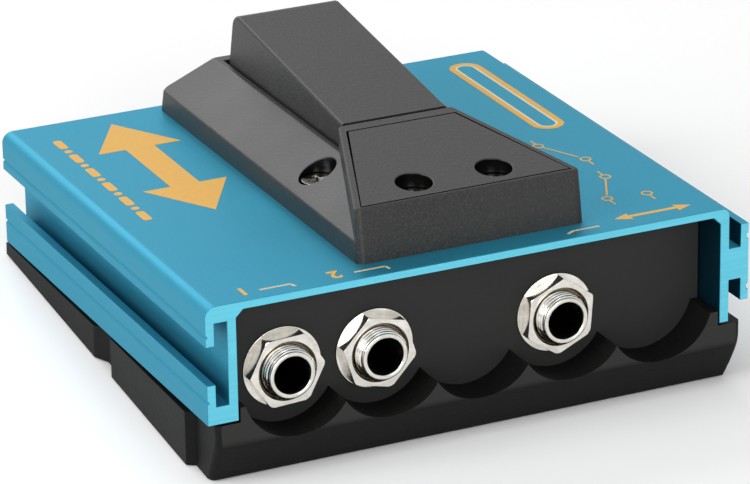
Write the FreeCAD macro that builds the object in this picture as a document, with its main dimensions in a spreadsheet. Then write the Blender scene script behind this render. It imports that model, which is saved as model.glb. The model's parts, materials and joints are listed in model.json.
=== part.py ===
import FreeCAD, Part
import math
import os
import re
import Sketcher

# Foot switch box that sends one signal to either of two outputs.
# An extruded metal top shell stands on a moulded wedge base. The jacks look out of one end, and a
# sprung treadle in a moulded housing presses the switch.
#
# Every piece is drawn in the shell's own frame: x runs across from the slotted side, y runs from
# the jack end, and z goes up from the foot of the extruded walls. The wedge base tips that frame,
# so each finished piece is then placed with the sole level, at z = 0, and centred over the origin.

SIZES = {
    # Top shell: an extrusion with a T slot along one side and a T rail along the other
    "shell_width": 100.0,
    "shell_length": 91.7,
    "shell_height": 20.7,
    "plate_thickness": 1.35,
    "slot_lip": 1.55,
    "slot_depth": 3.85,
    "slot_back": 1.6,
    "slot_floor": 3.1,
    "slot_roof_wall": 2.95,
    "slot_mouth_low": 7.05,
    "slot_mouth": 6.75,
    "rail_head": 1.5,
    "rail_gap": 2.25,
    "rail_head_low": 3.5,
    "rail_head_height": 13.9,
    "rail_stem_low": 7.55,
    "rail_stem": 5.7,
    "rail_wall": 1.7,
    "corner_web": 1.3,
    "line_groove": 0.35,
    "upper_groove_rise": 1.75,
    "lower_groove_height": 4.05,
    "rail_notch": 0.3,
    "rail_notch_width": 0.9,
    "rail_notch_inset": 1.9,
    "slot_side_radius": 2.0,
    "rail_side_radius": 1.3,
    # Base: a wedge tray, with an apron in front of a recessed jack panel
    "base_tilt": 5.71,
    "base_depth": 11.85,
    "seat_gap": 0.4,
    "apron_depth": 7.2,
    "panel_thickness": 2.0,
    "floor_thickness": 2.2,
    "side_step": 1.5,
    "tab_reach": 2.0,
    "tab_length": 8.2,
    "front_rib_end": 8.4,
    "near_block_start": 10.0,
    "near_block_end": 42.5,
    "far_block_start": 50.2,
    "block_lead": 2.6,
    "near_block_drop": 0.9,
    "far_block_drop": 0.5,
    "base_overhang": 0.5,
    "apron_edge_drop": 3.9,
    "apron_lean": 24.9,
    "apron_radius": 7.0,
    "tab_chamfer": 2.2,
    "base_corner_radius": 1.2,
    "scallop_radius": 9.9,
    "apron_rise": 2.2,
    "rear_wall_inset": 3.0,
    "rear_wall": 2.0,
    "side_rib": 1.5,
    "side_rib_height": 5.0,
    "fit_gap": 0.3,
    "sole_thickness": 1.2,
    "sole_proud": 0.25,
    "sole_inset": 4.0,
    # Screws through the base, and their posts
    "base_screw_inset": 5.95,
    "base_screw_near": 44.0,
    "base_screw_far": 76.5,
    "post_radius": 3.6,
    "screw_radius": 1.45,
    "screw_play": 0.25,
    "thread_play": 0.03,
    "base_screw_head": 2.8,
    "base_screw_head_height": 1.8,
    "base_screw_sink": 0.5,
    "base_screw_bite": 5.0,
    # Jacks
    "jack_middle": 49.75,
    "jack_pitch": 16.75,
    "jack_height": 4.9,
    "jack_bore": 3.25,
    "bush_radius": 4.5,
    "bush_play": 0.12,
    "bush_front": 2.3,
    "bush_seat": 3.2,
    "bush_mouth": 0.15,
    "bush_chamfer": 0.4,
    "nut_flats": 11.8,
    "nut_thickness": 2.3,
    "nut_mouth": 0.7,
    "nut_corner_cut": 0.3,
    "washer_radius": 7.0,
    "washer_thickness": 0.5,
    "jack_body_width": 15.2,
    "jack_body_length": 26.0,
    "jack_body_below": 6.3,
    "jack_body_above": 6.2,
    "jack_body_wall": 1.2,
    "bush_flange": 0.4,
    "bush_flange_thickness": 0.8,
    "contact_thickness": 0.4,
    "contact_width": 4.0,
    "contact_reach": 2.6,
    "contact_heel": 3.6,
    "pin_width": 1.2,
    "pin_below_board": 1.0,
    # Circuit board
    "board_thickness": 1.6,
    "board_near": 10.0,
    "board_length": 30.0,
    "board_side": 9.0,
    "board_screw_near": 14.0,
    "board_screw_far": 33.0,
    "board_screw_radius": 1.2,
    "board_screw_head": 2.2,
    "board_screw_head_height": 1.2,
    "board_post_radius": 2.6,
    # Pedal housing
    "pedal_middle": 50.6,
    "housing_front": 5.3,
    "housing_width": 41.85,
    "housing_length": 85.0,
    "housing_side": 3.7,
    "slope_angle": 27.2,
    "ridge_rise": 0.25,
    "ridge_width": 22.5,
    "front_lean": 8.4,
    "rear_lean": 16.8,
    "block_height": 9.0,
    "top_tilt": 7.69,
    "block_length": 29.55,
    "block_far_width": 21.4,
    "block_near_flat": 1.2,
    "housing_wall": 2.0,
    "corner_radius": 1.4,
    "edge_radius": 0.3,
    "slot_side_gap": 0.42,
    "slot_far": 85.2,
    "strip_thickness": 2.2,
    "cradle_depth": 12.4,
    "cradle_width": 16.6,
    "spring_bar_width": 10.0,
    "spring_bar": 1.6,
    "catch_width": 6.0,
    "catch_reach": 0.8,
    "catch_height": 1.2,
    "catch_gap": 0.3,
    # Hinge cover
    "cover_thickness": 2.4,
    "cover_gap": 0.3,
    "cover_near": 2.6,
    "cover_far_rim": 2.2,
    "cover_side_rim": 1.8,
    "cover_screw_spread": 14.75,
    "cover_screw_from_front": 7.0,
    "cover_screw_bore": 3.15,
    "cover_screw_sink": 3.2,
    "cover_boss_wall": 0.8,
    "cover_screw_radius": 1.25,
    "cover_screw_head": 2.75,
    "cover_screw_head_height": 1.0,
    "cover_screw_bite": 4.6,
    # Screws in the sloped sides
    "side_screw_y": 32.65,
    "side_screw_inset": 5.25,
    "side_screw_bore": 3.2,
    "side_screw_seat": 3.1,
    "side_screw_head": 2.8,
    "side_screw_head_height": 1.9,
    "nut_plate_thickness": 2.0,
    "nut_plate_width": 8.0,
    "nut_plate_margin": 5.0,
    # Hinge
    "pin_from_front": 23.2,
    "pin_height": 5.8,
    "hinge_pin_radius": 1.5,
    "hinge_play": 0.05,
    "hinge_pin_length": 21.0,
    "knuckle_radius": 3.2,
    "knuckle_side_gap": 0.35,
    # Treadle
    "treadle_gap": 0.45,
    "treadle_width": 19.8,
    "treadle_wall": 2.0,
    "treadle_far": 84.5,
    "treadle_skirt_near": 3.2,
    "treadle_skirt_far": 5.4,
    "treadle_lean": 13.5,
    "treadle_far_radius": 2.8,
    "treadle_edge_radius": 0.5,
    "treadle_arm": 5.4,
    # Return spring
    "spring_y": 47.0,
    "spring_radius": 3.7,
    "spring_wire": 0.4,
    "spring_turns": 5.5,
    "spring_play": 0.05,
    "spring_peg": 2.6,
    "spring_peg_height": 3.0,
    # Foot switch
    "switch_y": 65.0,
    "switch_width": 17.0,
    "switch_body": 13.5,
    "switch_flange": 1.2,
    "switch_neck": 5.0,
    "switch_neck_height": 6.6,
    "switch_neck_play": 0.15,
    "plunger_radius": 2.95,
    "plunger_play": 0.06,
    "plunger_foot": 5.0,
    "plunger_rise": 11.6,
    "plunger_gap": 0.05,
    "switch_nut_flats": 12.0,
    "switch_nut_thickness": 2.2,
    "switch_washer_radius": 6.9,
    "switch_washer_thickness": 0.5,
    "lug_pitch": 4.7,
    "lug_width": 2.2,
    "lug_thickness": 0.6,
    "lug_length": 3.6,
    "lead_radius": 0.6,
    "lead_pitch": 1.7,
    # Stops under the treadle
    "stop_width": 3.0,
    "stop_thickness": 0.6,
    "stop_length": 5.0,
    "stop_y": 80.5,
}

# Formulas in those sizes, written once and used wherever pieces meet
PLATE_UNDER = "(shell_height - plate_thickness)"
SLOT_ROOF = "(shell_height - slot_roof_wall)"
SLOT_MOUTH_HIGH = "(slot_mouth_low + slot_mouth)"
WALL_IN_SLOT_SIDE = "(slot_depth + slot_back)"
RAIL_HEAD_IN = "(shell_width - rail_head)"
WALL_OUT_RAIL_SIDE = "(shell_width - rail_head - rail_gap)"
WALL_IN_RAIL_SIDE = "(shell_width - rail_head - rail_gap - rail_wall)"
RAIL_HEAD_HIGH = "(rail_head_low + rail_head_height)"
UPPER_GROOVE = "(slot_mouth_low + slot_mouth + upper_groove_rise)"
BASE_FAR = "(shell_length + base_overhang)"
PANEL_BACK = "(apron_depth + panel_thickness)"
BOARD_TOP = "(jack_height - jack_body_below)"
HOUSING_LEFT = "(pedal_middle - housing_width / 2)"
HOUSING_RIGHT = "(pedal_middle + housing_width / 2)"
HOUSING_FAR = "(housing_front + housing_length)"
BLOCK_FAR = "(housing_front + block_length)"
PIN_Y = "(housing_front + pin_from_front)"
PIN_Z = "(shell_height + pin_height)"
TREADLE_NEAR = "(housing_front + block_length + treadle_gap)"
TREADLE_LEFT = "(pedal_middle - treadle_width / 2)"

# Screws in pairs follow the housing's sides, and stay clear of the treadle between them
SCREW_CLEAR = "treadle_width + 2 * (side_screw_head + slot_side_gap)"
SIDE_SCREW_SPREAD = "max(housing_width - 2 * side_screw_inset; " + SCREW_CLEAR + ")"
BASE_SCREW_SPREAD = "max(housing_width - 2 * base_screw_inset; " + SCREW_CLEAR + ")"

# Rounded edges that a thin lip or a shallow flare limits
SHELL_CORNER = "min(slot_side_radius; shell_height - " + UPPER_GROOVE + " - 2 * line_groove)"
BLOCK_FLARE = "((housing_width - block_far_width) / 2 / (block_length - block_near_flat))"
HOUSING_EDGE = "min(edge_radius; 2.2 * " + BLOCK_FLARE + " * " + BLOCK_FLARE + ")"


def top_height(y):
    """Height of the sloping top of the hinge block and the treadle, at a place along the shell."""
    return "(shell_height + block_height + (" + y + " - housing_front) * tan(top_tilt))"


def sole_height(y, above="0"):
    """Height of the base's sloping underside, at a place along the shell."""
    return "(" + y + " * tan(base_tilt) - base_depth + " + above + ")"


doc = FreeCAD.newDocument("foot_switch_box")
sheet = doc.addObject("Spreadsheet::Sheet", "sizes")
for row, (alias, number) in enumerate(SIZES.items(), start=1):
    sheet.set("A%d" % row, alias)
    sheet.set("B%d" % row, str(number))
    sheet.setAlias("B%d" % row, alias)
doc.recompute()

# Sub-parts, in the order in which they are made
parts = []

# Room left beyond a piece by the tools that cut it
BEYOND = "30"
LARGE = 30.0


def formula(text):
    """A formula in plain size names, written as the document's expressions need it."""
    return re.sub(r"[a-z_]+[a-z_0-9]*",
                  lambda word: "sizes." + word.group(0) if word.group(0) in SIZES else word.group(0),
                  text)


def size(alias):
    return float(getattr(sheet, alias))


def bind(thing, prop, text):
    thing.setExpression(prop, formula(text))


def vector(x, y, z):
    return FreeCAD.Vector(x, y, z)


def body(label):
    made = doc.addObject("PartDesign::Body", label)
    made.Label = label
    parts.append(made)
    return made


def origin_plane(owner, role):
    return [item for item in owner.Origin.OriginFeatures if item.Role == role][0]


def sketch_on(owner, role, at, tilt=None, pivot=None):
    """An empty sketch on one of the body's own planes, moved along the plane's axis to a height.

    With a tilt it is turned about x, and pivot then gives the y and z that it turns about.
    """
    sketch = owner.newObject("Sketcher::SketchObject", "outline")
    sketch.AttachmentSupport = (origin_plane(owner, role), [""])
    sketch.MapMode = "FlatFace"
    if tilt:
        sketch.AttachmentOffset = FreeCAD.Placement(vector(0, 0, 0), FreeCAD.Rotation(vector(1, 0, 0), 1))
        bind(sketch, "AttachmentOffset.Rotation.Angle", tilt)
    if pivot and role == "XY_Plane":
        bind(sketch, "AttachmentOffset.Base.y", pivot[0])
        bind(sketch, "AttachmentOffset.Base.z", pivot[1])
    elif pivot:
        bind(sketch, "AttachmentOffset.Base.y", pivot[1])
        bind(sketch, "AttachmentOffset.Base.z", "-(" + pivot[0] + ")")
    else:
        facing = "-1 * (" if role == "XZ_Plane" else "1 * ("
        bind(sketch, "AttachmentOffset.Base.z", facing + at + ")")
    return sketch


def draw_outline(sketch, corners):
    """A closed outline of straight edges, each corner tied to the sheet by two dimensions."""
    count = len(corners)
    start = sketch.GeometryCount
    ring = [vector(math.cos(math.tau * i / count), math.sin(math.tau * i / count), 0) * LARGE
            for i in range(count)]
    sketch.addGeometry([Part.LineSegment(ring[i], ring[(i + 1) % count]) for i in range(count)], False)
    rules = []
    for i in range(count):
        rules.append(Sketcher.Constraint("Coincident", start + i, 2, start + (i + 1) % count, 1))
    for i in range(count):
        rules.append(Sketcher.Constraint("DistanceX", -1, 1, start + i, 1, ring[i].x))
        rules.append(Sketcher.Constraint("DistanceY", -1, 1, start + i, 1, ring[i].y))
    first = sketch.ConstraintCount
    sketch.addConstraint(rules)
    for i, (u, v) in enumerate(corners):
        bind(sketch, "Constraints[%d]" % (first + count + 2 * i), u)
        bind(sketch, "Constraints[%d]" % (first + count + 2 * i + 1), v)


def draw_circles(sketch, centres, radius):
    for u, v in centres:
        index = sketch.GeometryCount
        first = sketch.ConstraintCount
        sketch.addGeometry(Part.Circle(vector(LARGE, LARGE, 0), vector(0, 0, 1), 1), False)
        sketch.addConstraint([Sketcher.Constraint("DistanceX", -1, 1, index, 3, LARGE),
                              Sketcher.Constraint("DistanceY", -1, 1, index, 3, LARGE),
                              Sketcher.Constraint("Radius", index, 1)])
        bind(sketch, "Constraints[%d]" % first, u)
        bind(sketch, "Constraints[%d]" % (first + 1), v)
        bind(sketch, "Constraints[%d]" % (first + 2), radius)


def rectangle(low_u, high_u, low_v, high_v):
    return [(low_u, low_v), (high_u, low_v), (high_u, high_v), (low_u, high_v)]


def raise_feature(owner, kind, sketch, length):
    """Adds or removes material from the sketch's plane along +x, +y or +z."""
    feature = owner.newObject(kind, kind.split("::")[1].lower())
    feature.Profile = sketch
    bind(feature, "Length", length)
    upright = sketch.AttachmentSupport[0][0].Role != "XZ_Plane"
    adding = kind == "PartDesign::Pad"
    feature.Reversed = adding != upright
    sketch.Visibility = False
    doc.recompute()
    return feature


def solid_volume(owner):
    return owner.Tip.Shape.Volume if owner.Tip else 0.0


def add(owner, role, at, length, corners=None, circles=None, radius=None, tilt=None, pivot=None):
    sketch = sketch_on(owner, role, at, tilt, pivot)
    if corners:
        draw_outline(sketch, corners)
    if circles:
        draw_circles(sketch, circles, radius)
    before = solid_volume(owner)
    raise_feature(owner, "PartDesign::Pad", sketch, length)
    if solid_volume(owner) <= before:
        raise RuntimeError(owner.Label + ": a pad added nothing")


def take(owner, role, at, length, corners=None, circles=None, radius=None, tilt=None, pivot=None):
    sketch = sketch_on(owner, role, at, tilt, pivot)
    if corners:
        draw_outline(sketch, corners)
    if circles:
        draw_circles(sketch, circles, radius)
    before = solid_volume(owner)
    raise_feature(owner, "PartDesign::Pocket", sketch, length)
    if solid_volume(owner) >= before:
        raise RuntimeError(owner.Label + ": a pocket removed nothing")


def round_edges(owner, radius, wanted, kind="PartDesign::Fillet"):
    """Rounds or chamfers the edges of the body so far that the test picks."""
    base = owner.Tip
    names = ["Edge%d" % (i + 1) for i, edge in enumerate(base.Shape.Edges) if wanted(edge)]
    if not names:
        raise RuntimeError(owner.Label + ": no edge to round")
    feature = owner.newObject(kind, "rounding")
    feature.Base = (base, names)
    bind(feature, "Radius" if kind.endswith("Fillet") else "Size", radius)
    doc.recompute()
    if "Invalid" in feature.State or not feature.Shape.isValid():
        raise RuntimeError(owner.Label + ": an edge could not be rounded")


def near(a, b, within=0.02):
    return abs(a - b) < within


def runs_along(edge, axis):
    """True for a straight edge that runs along one of the shell's axes."""
    if len(edge.Vertexes) != 2:
        return False
    step = edge.Vertexes[1].Point - edge.Vertexes[0].Point
    return step.Length > 0 and near(abs(step.normalize().dot(axis)), 1.0, 1e-6)


def middle(edge):
    return edge.CenterOfMass


X_AXIS = vector(1, 0, 0)
Y_AXIS = vector(0, 1, 0)
Z_AXIS = vector(0, 0, 1)


def screw_places(spread, rows):
    """Places of screws in pairs either side of the pedal's middle, one pair to each row."""
    return [("pedal_middle + " + side + spread + " / 2", row) for row in rows for side in ("-", "")]


BASE_SCREWS = screw_places(BASE_SCREW_SPREAD, ["base_screw_near", "base_screw_far"])
SIDE_SCREWS = screw_places(SIDE_SCREW_SPREAD, ["side_screw_y"])
COVER_SCREWS = screw_places("cover_screw_spread", ["housing_front + cover_screw_from_front"])
BOARD_SCREWS = [(x, y) for x in ("jack_middle", "jack_middle + 2 * jack_pitch")
                for y in ("board_screw_near", "board_screw_far")]

# Each jack's name, and its place in steps of the jack pitch from the middle one
JACKS = {"jack_b": "-2", "jack_a": "-1", "jack_common": "1"}

# How far each jack's nut happens to be turned when it is tight, in degrees
NUT_TURNS = {"jack_b": -3, "jack_a": 13, "jack_common": 35}


def jack_x(step):
    return "(jack_middle + " + step + " * jack_pitch)"


def make_top_shell():
    shell = body("top_shell")
    add(shell, "XZ_Plane", "0", "shell_length", corners=[
        ("0", "0"),
        (WALL_IN_SLOT_SIDE, "0"),
        (WALL_IN_SLOT_SIDE, PLATE_UNDER + " - corner_web"),
        (WALL_IN_SLOT_SIDE + " + corner_web", PLATE_UNDER),
        (WALL_IN_RAIL_SIDE + " - corner_web", PLATE_UNDER),
        (WALL_IN_RAIL_SIDE, PLATE_UNDER + " - corner_web"),
        (WALL_IN_RAIL_SIDE, "0"),
        (WALL_OUT_RAIL_SIDE, "0"),
        (WALL_OUT_RAIL_SIDE, "rail_stem_low"),
        (RAIL_HEAD_IN, "rail_stem_low"),
        (RAIL_HEAD_IN, "rail_head_low"),
        ("shell_width", "rail_head_low"),
        ("shell_width", "rail_head_low + rail_notch_inset"),
        ("shell_width - rail_notch", "rail_head_low + rail_notch_inset"),
        ("shell_width - rail_notch", "rail_head_low + rail_notch_inset + rail_notch_width"),
        ("shell_width", "rail_head_low + rail_notch_inset + rail_notch_width"),
        ("shell_width", RAIL_HEAD_HIGH + " - rail_notch_inset - rail_notch_width"),
        ("shell_width - rail_notch", RAIL_HEAD_HIGH + " - rail_notch_inset - rail_notch_width"),
        ("shell_width - rail_notch", RAIL_HEAD_HIGH + " - rail_notch_inset"),
        ("shell_width", RAIL_HEAD_HIGH + " - rail_notch_inset"),
        ("shell_width", RAIL_HEAD_HIGH),
        (RAIL_HEAD_IN, RAIL_HEAD_HIGH),
        (RAIL_HEAD_IN, "rail_stem_low + rail_stem"),
        (WALL_OUT_RAIL_SIDE, "rail_stem_low + rail_stem"),
        (WALL_OUT_RAIL_SIDE, "shell_height"),
        ("0", "shell_height"),
        ("0", UPPER_GROOVE + " + line_groove"),
        ("line_groove", UPPER_GROOVE),
        ("0", UPPER_GROOVE + " - line_groove"),
        ("0", SLOT_MOUTH_HIGH),
        ("slot_lip", SLOT_MOUTH_HIGH),
        ("slot_lip", SLOT_ROOF),
        ("slot_depth", SLOT_ROOF),
        ("slot_depth", "slot_floor"),
        ("slot_lip", "slot_floor"),
        ("slot_lip", "slot_mouth_low"),
        ("0", "slot_mouth_low"),
        ("0", "lower_groove_height + line_groove"),
        ("line_groove", "lower_groove_height"),
        ("0", "lower_groove_height - line_groove")])
    top = size("shell_height")
    rail_side = size("shell_width") - size("rail_head") - size("rail_gap")
    round_edges(shell, SHELL_CORNER, lambda edge: runs_along(edge, Y_AXIS)
                and near(middle(edge).x, 0) and near(middle(edge).z, top))
    round_edges(shell, "rail_side_radius", lambda edge: runs_along(edge, Y_AXIS)
                and near(middle(edge).x, rail_side) and near(middle(edge).z, top))
    take(shell, "XY_Plane", PLATE_UNDER + " - 1", BEYOND,
         circles=BASE_SCREWS + SIDE_SCREWS, radius="screw_radius + screw_play")
    take(shell, "XY_Plane", PLATE_UNDER + " - 1", BEYOND,
         circles=[("pedal_middle", "switch_y")], radius="switch_neck + switch_neck_play")


BELOW_SOLE = [("-" + BEYOND, sole_height("(-" + BEYOND + ")")),
              (BASE_FAR + " + " + BEYOND, sole_height("(" + BASE_FAR + " + " + BEYOND + ")")),
              (BASE_FAR + " + " + BEYOND, "-base_depth - " + BEYOND),
              ("-" + BEYOND, "-base_depth - " + BEYOND)]


def make_base_tray():
    tray = body("base_tray")
    rail_edge = "(" + WALL_OUT_RAIL_SIDE + " + tab_reach + 0.5)"
    seat = "(-seat_gap)"
    # The apron and the tray in plan, with stepped blocks along the slotted side
    add(tray, "XY_Plane", "-base_depth - 2", "base_depth + 2 - seat_gap", corners=[
        ("side_step", "0"),
        (rail_edge, "0"),
        (rail_edge, "tab_length"),
        (WALL_OUT_RAIL_SIDE, "tab_length"),
        (WALL_OUT_RAIL_SIDE, BASE_FAR),
        ("0", BASE_FAR),
        ("0", "far_block_start"),
        ("side_step", "far_block_start - block_lead"),
        ("side_step", "near_block_end + side_step"),
        ("0", "near_block_end"),
        ("0", "near_block_start"),
        ("side_step", "near_block_start - side_step / 2"),
        ("side_step", "front_rib_end")])
    # Wedge underside
    take(tray, "YZ_Plane", "-" + BEYOND, "shell_width + 2 * " + BEYOND, corners=BELOW_SOLE)
    # The apron's front leans back below its upper edge
    take(tray, "YZ_Plane", "-" + BEYOND, "shell_width + 2 * " + BEYOND, corners=[
        ("0", "-apron_edge_drop"),
        ("-" + BEYOND, "-apron_edge_drop"),
        ("-" + BEYOND, "-apron_edge_drop - " + BEYOND),
        (BEYOND + " * tan(apron_lean)", "-apron_edge_drop - " + BEYOND)])
    edge_drop = size("apron_edge_drop")
    round_edges(tray, "apron_radius", lambda edge: runs_along(edge, X_AXIS)
                and near(middle(edge).y, 0) and near(middle(edge).z, -edge_drop))
    round_edges(tray, "base_corner_radius", lambda edge: middle(edge).y < edge_drop
                and not runs_along(edge, X_AXIS) and not runs_along(edge, Y_AXIS)
                and near(edge.Vertexes[0].Point.x, edge.Vertexes[-1].Point.x)
                and edge.Vertexes[0].Point.y < 1.5 * edge_drop
                and edge.Vertexes[-1].Point.y < 1.5 * edge_drop)
    # Lower corner of the tab on the rail side
    take(tray, "XZ_Plane", "-" + BEYOND, BEYOND + " + tab_length + 1", corners=[
        (rail_edge, "-apron_edge_drop"),
        (rail_edge + " + 5", "-apron_edge_drop"),
        (rail_edge + " + 5", "-apron_edge_drop - base_depth"),
        (rail_edge + " - tab_chamfer", "-apron_edge_drop - base_depth")])
    # Blocks along the slotted side start lower towards the jack end
    take(tray, "YZ_Plane", "-1", "1 + side_step", corners=[
        ("near_block_end + 1", seat), ("near_block_start - 1", seat),
        ("near_block_start - 1", "-seat_gap - near_block_drop")])
    take(tray, "YZ_Plane", "-1", "1 + side_step", corners=[
        (BASE_FAR, seat), ("far_block_start - 1", seat),
        ("far_block_start - 1", "-seat_gap - far_block_drop")])
    # Hollow behind the jack panel
    inner_left = "(" + WALL_IN_SLOT_SIDE + " + fit_gap + side_rib)"
    inner_right = "(" + WALL_IN_RAIL_SIDE + " - fit_gap - side_rib)"
    rear_in = "(shell_length - rear_wall_inset - rear_wall)"
    take(tray, "YZ_Plane", inner_left, inner_right + " - " + inner_left, corners=[
        (PANEL_BACK, "0"),
        (PANEL_BACK, sole_height(PANEL_BACK, "floor_thickness")),
        (rear_in, sole_height(rear_in, "floor_thickness")),
        (rear_in, "0")])
    # Jack panel, rear wall and locating ribs, which stand up inside the shell
    def wall_outline(high):
        return [(WALL_IN_SLOT_SIDE + " + fit_gap", seat + " - 0.5"),
                (WALL_IN_RAIL_SIDE + " - fit_gap", seat + " - 0.5"),
                (WALL_IN_RAIL_SIDE + " - fit_gap", high + " - corner_web - fit_gap"),
                (WALL_IN_RAIL_SIDE + " - fit_gap - corner_web", high + " - fit_gap"),
                (WALL_IN_SLOT_SIDE + " + fit_gap + corner_web", high + " - fit_gap"),
                (WALL_IN_SLOT_SIDE + " + fit_gap", high + " - corner_web - fit_gap")]
    add(tray, "XZ_Plane", "apron_depth", "panel_thickness", corners=wall_outline(PLATE_UNDER))
    add(tray, "XZ_Plane", rear_in, "rear_wall", corners=wall_outline(PLATE_UNDER))
    for low in (WALL_IN_SLOT_SIDE + " + fit_gap", inner_right):
        add(tray, "XZ_Plane", PANEL_BACK + " - 0.5", rear_in + " - " + PANEL_BACK + " + 1",
            corners=rectangle(low, low + " + side_rib", seat + " - 0.2", "side_rib_height"))
    # Posts for the long screws and for the circuit board
    add(tray, "XY_Plane", "-base_depth + 1", "base_depth - 1 + " + PLATE_UNDER + " - fit_gap",
        circles=BASE_SCREWS, radius="post_radius")
    add(tray, "XY_Plane", "-base_depth + 1", BOARD_TOP + " - board_thickness + base_depth - 1",
        circles=BOARD_SCREWS, radius="board_post_radius")
    # What the posts left below the wedge
    take(tray, "YZ_Plane", "-" + BEYOND, "shell_width + 2 * " + BEYOND, corners=BELOW_SOLE)
    # The apron's ends rise a little way between the shell's walls
    add(tray, "XZ_Plane", "0", "apron_depth + 0.5", corners=rectangle(
        WALL_IN_SLOT_SIDE + " + fit_gap", WALL_IN_RAIL_SIDE + " - fit_gap", seat + " - 0.5",
        "apron_rise"))
    # Half-round scallops that give a plug's handle room in front of the panel
    take(tray, "XZ_Plane", "-1", "apron_depth + 1",
         circles=[(jack_x(str(step)), "jack_height") for step in range(-2, 3)], radius="scallop_radius")
    take(tray, "XZ_Plane", "apron_depth - 1", "panel_thickness + 2",
         circles=[(jack_x(step), "jack_height") for step in JACKS.values()],
         radius="bush_radius + bush_play")
    # Screw holes: plain up to each head's seat, wider below it
    take(tray, "XY_Plane", "-base_depth - 2", "base_depth + 2 + shell_height",
         circles=BASE_SCREWS, radius="screw_radius + screw_play")
    for x, y in BASE_SCREWS:
        take(tray, "XY_Plane", "-base_depth - 5",
             sole_height(y) + " + base_screw_sink + base_screw_head_height + base_depth + 5",
             circles=[(x, y)], radius="base_screw_head + screw_play")
    take(tray, "XY_Plane", BOARD_TOP + " - board_thickness - 4", "10",
         circles=BOARD_SCREWS, radius="board_screw_radius + thread_play")
    # Shallow seat for the sole
    take(tray, "XY_Plane", "0", "sole_thickness - sole_proud", tilt="base_tilt",
         pivot=("0", "-base_depth"), corners=sole_outline("-fit_gap"))


def sole_outline(inset):
    """The sole in plan on the base's underside, with the corners cut off."""
    low_x = "(side_step + sole_inset + " + inset + ")"
    high_x = "(" + WALL_OUT_RAIL_SIDE + " - sole_inset - " + inset + ")"
    low_y = "(sole_inset * 2 + " + inset + ")"
    high_y = "(" + BASE_FAR + " - sole_inset - " + inset + ")"
    cut = "sole_inset"
    return [(low_x + " + " + cut, low_y), (high_x + " - " + cut, low_y),
            (high_x, low_y + " + " + cut), (high_x, high_y + " - " + cut),
            (high_x + " - " + cut, high_y), (low_x + " + " + cut, high_y),
            (low_x, high_y + " - " + cut), (low_x, low_y + " + " + cut)]


def make_sole():
    sole = body("rubber_sole")
    add(sole, "XY_Plane", "0", "sole_thickness", tilt="base_tilt",
        pivot=("0", "-base_depth - sole_proud / cos(base_tilt)"), corners=sole_outline("0"))
    take(sole, "XY_Plane", "-base_depth - 5", BEYOND, circles=BASE_SCREWS,
         radius="base_screw_head + 1")


def housing_roof(at_y):
    """Cross-section of what lies above the housing's sloped sides and ridge, at its front."""
    foot = "(shell_height + housing_side)"
    half = "((housing_width - ridge_width) / 2)"
    ridge = "(housing_side + " + half + " * tan(slope_angle))"
    return [(HOUSING_LEFT + " - 5", "housing_side - 5 * tan(slope_angle)"),
            (HOUSING_LEFT + " + " + half, ridge),
            (HOUSING_RIGHT + " - " + half, ridge),
            (HOUSING_RIGHT + " + 5", "housing_side - 5 * tan(slope_angle)"),
            (HOUSING_RIGHT + " + 5", BEYOND),
            (HOUSING_LEFT + " - 5", BEYOND)]


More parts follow.
